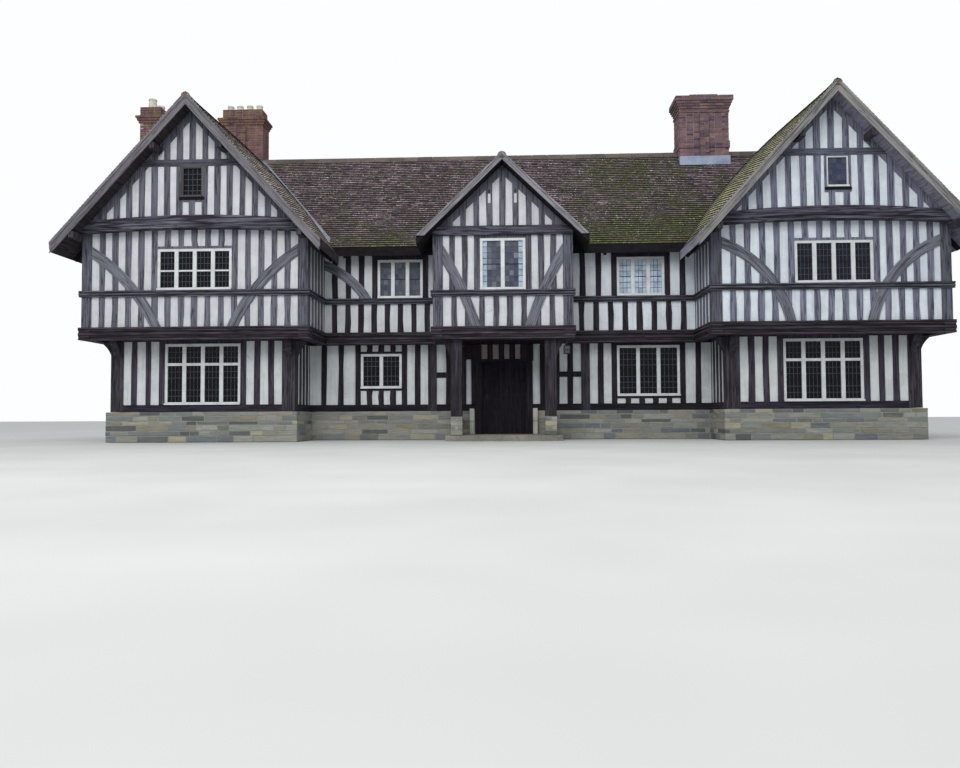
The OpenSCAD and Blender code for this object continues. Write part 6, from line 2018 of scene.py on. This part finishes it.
@dataclass
class PorchTrim:
    """Limewashed blocks beside the door, the panels and studs over it and the plastered slots in the porch gable."""

    wall_face: float = -1.88
    block_y: tuple[float, float] = (1.93, 2.06)
    block_high: float = 0.35
    slots_x: tuple[float, float] = (-0.469, 0.209)
    head_low: float = 2.175
    head_high: float = 2.64

    def build(self) -> None:
        """Makes the blocks, the slots with the holes over them, and the door's head."""
        n, (y0, y1) = LINES, self.block_y
        blocks = Lay(Pattern.block(0.012), 800, 0.002)
        for x0, x1 in ((-1.075, -0.945), (0.66, 0.79)):
            for z in (0.15, 0.51):
                blocks.box(n.at(x0, y0, z), n.at(x1, y1, z + self.block_high))
        settle(blocks.piece("porch_side_blocks"), "pale_block")
        slots, holes = Lay(Pattern.block(0.004), 801), Lay(Pattern.block(0.012), 802)
        for x in self.slots_x:
            for lay, half, proud, z0, z1 in ((slots, 0.035, 0.004, 6.16, 6.4), (holes, 0.032, 0.005, 6.42, 6.52)):
                lay.box(n.at(x - half, n.porch_front - proud, z0), n.at(x + half, n.porch_front + 0.02, z1))
        settle(slots.piece("porch_gable_slots"), "plaster")
        self.door_head()
        # The holes are blocks of black iron: painted shade of the openings over the slots
        settle(holes.piece("porch_gable_holes"), "iron")

    def door_head(self) -> None:
        """Boards over and beside the door, with four small plastered panels between the short studs."""
        back, low, high = self.wall_face, self.head_low, self.head_high
        panels, studs = Lay(Pattern.block(0.004), 803), Lay(Pattern.block(0.006), 804)
        for x0, x1 in ((-0.6, -0.42), (-0.29, -0.11), (0.03, 0.185), (0.33, 0.49)):
            panels.box((x0, back - 0.026, low + 0.03), (x1, back, high - 0.01))
        for x0, x1 in ((-1.05, -0.594), (-0.43, -0.281), (-0.117, 0.037), (0.177, 0.34), (0.48, 0.84)):
            studs.box((x0, back - 0.05, low + 0.045), (x1, back, high))
        studs.box((-0.88, back - 0.052, low), (0.84, back, low + 0.05))
        for x0, x1 in ((-0.88, -0.76), (1.02, 1.1)):
            studs.box((x0, back - 0.035, 0.98), (x1, back, high - 0.02))
        # The panels' plaster is darkened as painted porch shade
        settle(panels.piece("door_head_panels"), "porch_plaster")
        settle(studs.piece("door_head_studs"), "door_frame")


class NodeDress:
    """Finishes of the CAD nodes that show as they are."""

    NODES: ClassVar[dict[str, str]] = {
        "paving": "ground_floor porch_paving",
        "low_posts": "ground_posts purlin_ends",
        "low_studs": "left_wing_ground_frame right_wing_ground_frame",
        "hall_low_studs": "hall_ground_frame",
        "low_plaster": "ground_infill",
        "bressumers": "wing_bressumers hall_bressumers porch_bressumer",
        "floors": "upper_floor attic_floors",
        "posts": "upper_posts",
        "studs": "left_wing_upper_frame right_wing_upper_frame",
        "hall_studs": "hall_upper_frame",
        "porch_studs": "porch_upper_frame",
        "plaster": "upper_infill gable_infill",
        "rails": "mid_rails",
        "ties": "tie_beams wall_plates",
        "gable_studs": "gable_frames",
        "paint": "ground_windows upper_windows",
        "attic_paint": "attic_windows",
        "door_frame": "door_frame",
        "door": "front_door",
        "porch_oak": "porch_posts",
        "soffit": "hall_roof porch_roof",
        "left_soffit": "left_wing_roof",
        "wing_soffit": "right_wing_roof",
        "clay": "chimney_pots",
        "lead": "lead_flashing",
    }

    def build(self) -> None:
        """Gives each shown node its finish."""
        for finish, nodes in self.NODES.items():
            for node in nodes.split():
                wear(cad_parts[node], finish)
                LOG.info("%s: %s", node, finish)


@dataclass
class Studio:
    """Pale floor, soft light from all round and a camera that stands where the photograph was taken."""

    yaw: float = 0.0383
    pitch: float = 0.0412
    roll: float = -0.0052
    stand: tuple[float, float, float] = (0.2086, -24.031, 0.6245)
    horizon: float = 0.52
    zenith: float = 1.08
    lamp_power: float = 3900.0
    lamp_size: float = 18.0
    lamp_at: tuple[float, float, float] = (-5.0, -24.0, 19.0)
    lamp_to: tuple[float, float, float] = (0.0, 0.0, 4.0)
    lens: float = 30.0
    sensor: float = 36.0
    reach: float = 500.0
    floor_size: float = 400.0

    def floor(self) -> None:
        """Lays the floor."""
        deselect()
        bpy.ops.mesh.primitive_plane_add(size=self.floor_size)
        floor = bpy.context.object
        floor.name = "floor"
        r = Recipe("pale studio floor")
        colour = r.mottle(0.4, [(0.3, "#bcbcba"), (0.7, "#c6c6c4")], 2)
        floor.data.materials.append(r.finish(colour, 0.9, colour, 0.0001))

    def sky(self) -> None:
        """Wraps the studio in soft light that is strongest overhead and looks near white behind the house."""
        world = bpy.data.worlds.new("overcast")
        bpy.context.scene.world = world
        world.use_nodes = True
        tree = world.node_tree
        light = tree.nodes["Background"]
        light.inputs["Color"].default_value = (0.93, 0.965, 1.0, 1.0)
        way, axes, rise = (tree.nodes.new(kind) for kind in ("ShaderNodeTexCoord", "ShaderNodeSeparateXYZ",
                                                             "ShaderNodeMapRange"))
        for key, value in ((1, -0.1), (2, 1.0), (3, self.horizon), (4, self.zenith)):
            rise.inputs[key].default_value = value
        seen = tree.nodes.new("ShaderNodeBackground")
        seen.inputs["Color"].default_value = (0.985, 0.99, 1.0, 1.0)
        seen.inputs["Strength"].default_value = 1.0
        rays, mix = tree.nodes.new("ShaderNodeLightPath"), tree.nodes.new("ShaderNodeMixShader")
        for out, into in ((way.outputs["Generated"], axes.inputs[0]), (axes.outputs["Z"], rise.inputs[0]),
                          (rise.outputs[0], light.inputs["Strength"]), (rays.outputs["Is Camera Ray"], mix.inputs[0]),
                          (light.outputs[0], mix.inputs[1]), (seen.outputs[0], mix.inputs[2]),
                          (mix.outputs[0], tree.nodes["World Output"].inputs["Surface"])):
            tree.links.new(out, into)
        bpy.context.scene.view_settings.view_transform = "Standard"

    def lamp(self) -> None:
        """Hangs one broad lamp high in front, so that jetties and eaves throw a soft shade."""
        data = bpy.data.lights.new("broad_lamp", "AREA")
        data.shape, data.size, data.energy = "DISK", self.lamp_size, self.lamp_power
        data.color = (1.0, 0.99, 0.97)
        lamp = bpy.data.objects.new("broad_lamp", data)
        lamp.location = self.lamp_at
        lamp.rotation_euler = (Vector(self.lamp_to) - Vector(self.lamp_at)).to_track_quat("-Z", "Y").to_euler()
        bpy.context.scene.collection.objects.link(lamp)

    def camera(self) -> None:
        """Sets up the camera that was fitted to the photograph."""
        data = bpy.data.cameras.new("camera")
        camera = bpy.data.objects.new("camera", data)
        bpy.context.scene.collection.objects.link(camera)
        ahead = Vector((-math.sin(self.yaw) * math.cos(self.pitch), math.cos(self.yaw) * math.cos(self.pitch),
                        math.sin(self.pitch)))
        level = Vector((math.cos(self.yaw), math.sin(self.yaw), 0))
        above = level.cross(ahead)
        right = math.cos(self.roll) * level + math.sin(self.roll) * above
        top = -math.sin(self.roll) * level + math.cos(self.roll) * above
        turn = Matrix((right, top, -ahead)).transposed().to_4x4()
        turn.translation = self.stand
        camera.matrix_world = turn
        data.lens, data.sensor_width, data.clip_end = self.lens, self.sensor, self.reach
        bpy.context.scene.camera = camera

    def build(self) -> None:
        """Sets up the floor, the lights and the camera."""
        self.floor()
        self.sky()
        self.lamp()
        self.camera()


def main() -> None:
    """Dresses the house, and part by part."""
    logging.basicConfig(level=logging.INFO, format="%(name)s: %(message)s")
    parts = (Studio(), NodeDress(), TiledRoofs(), RidgeTiles(), BrickStacks(), StonePlinths(), LeadedWindows(),
             PlankDoor(), CurvedBraces(), Bargeboards(), LeadWork(), RafterFeet(), PorchLantern(), PorchTrim())
    for part in parts:
        part.build()
        LOG.info("%s done", type(part).__name__)
    deselect()


if __name__ == "__main__":
    main()
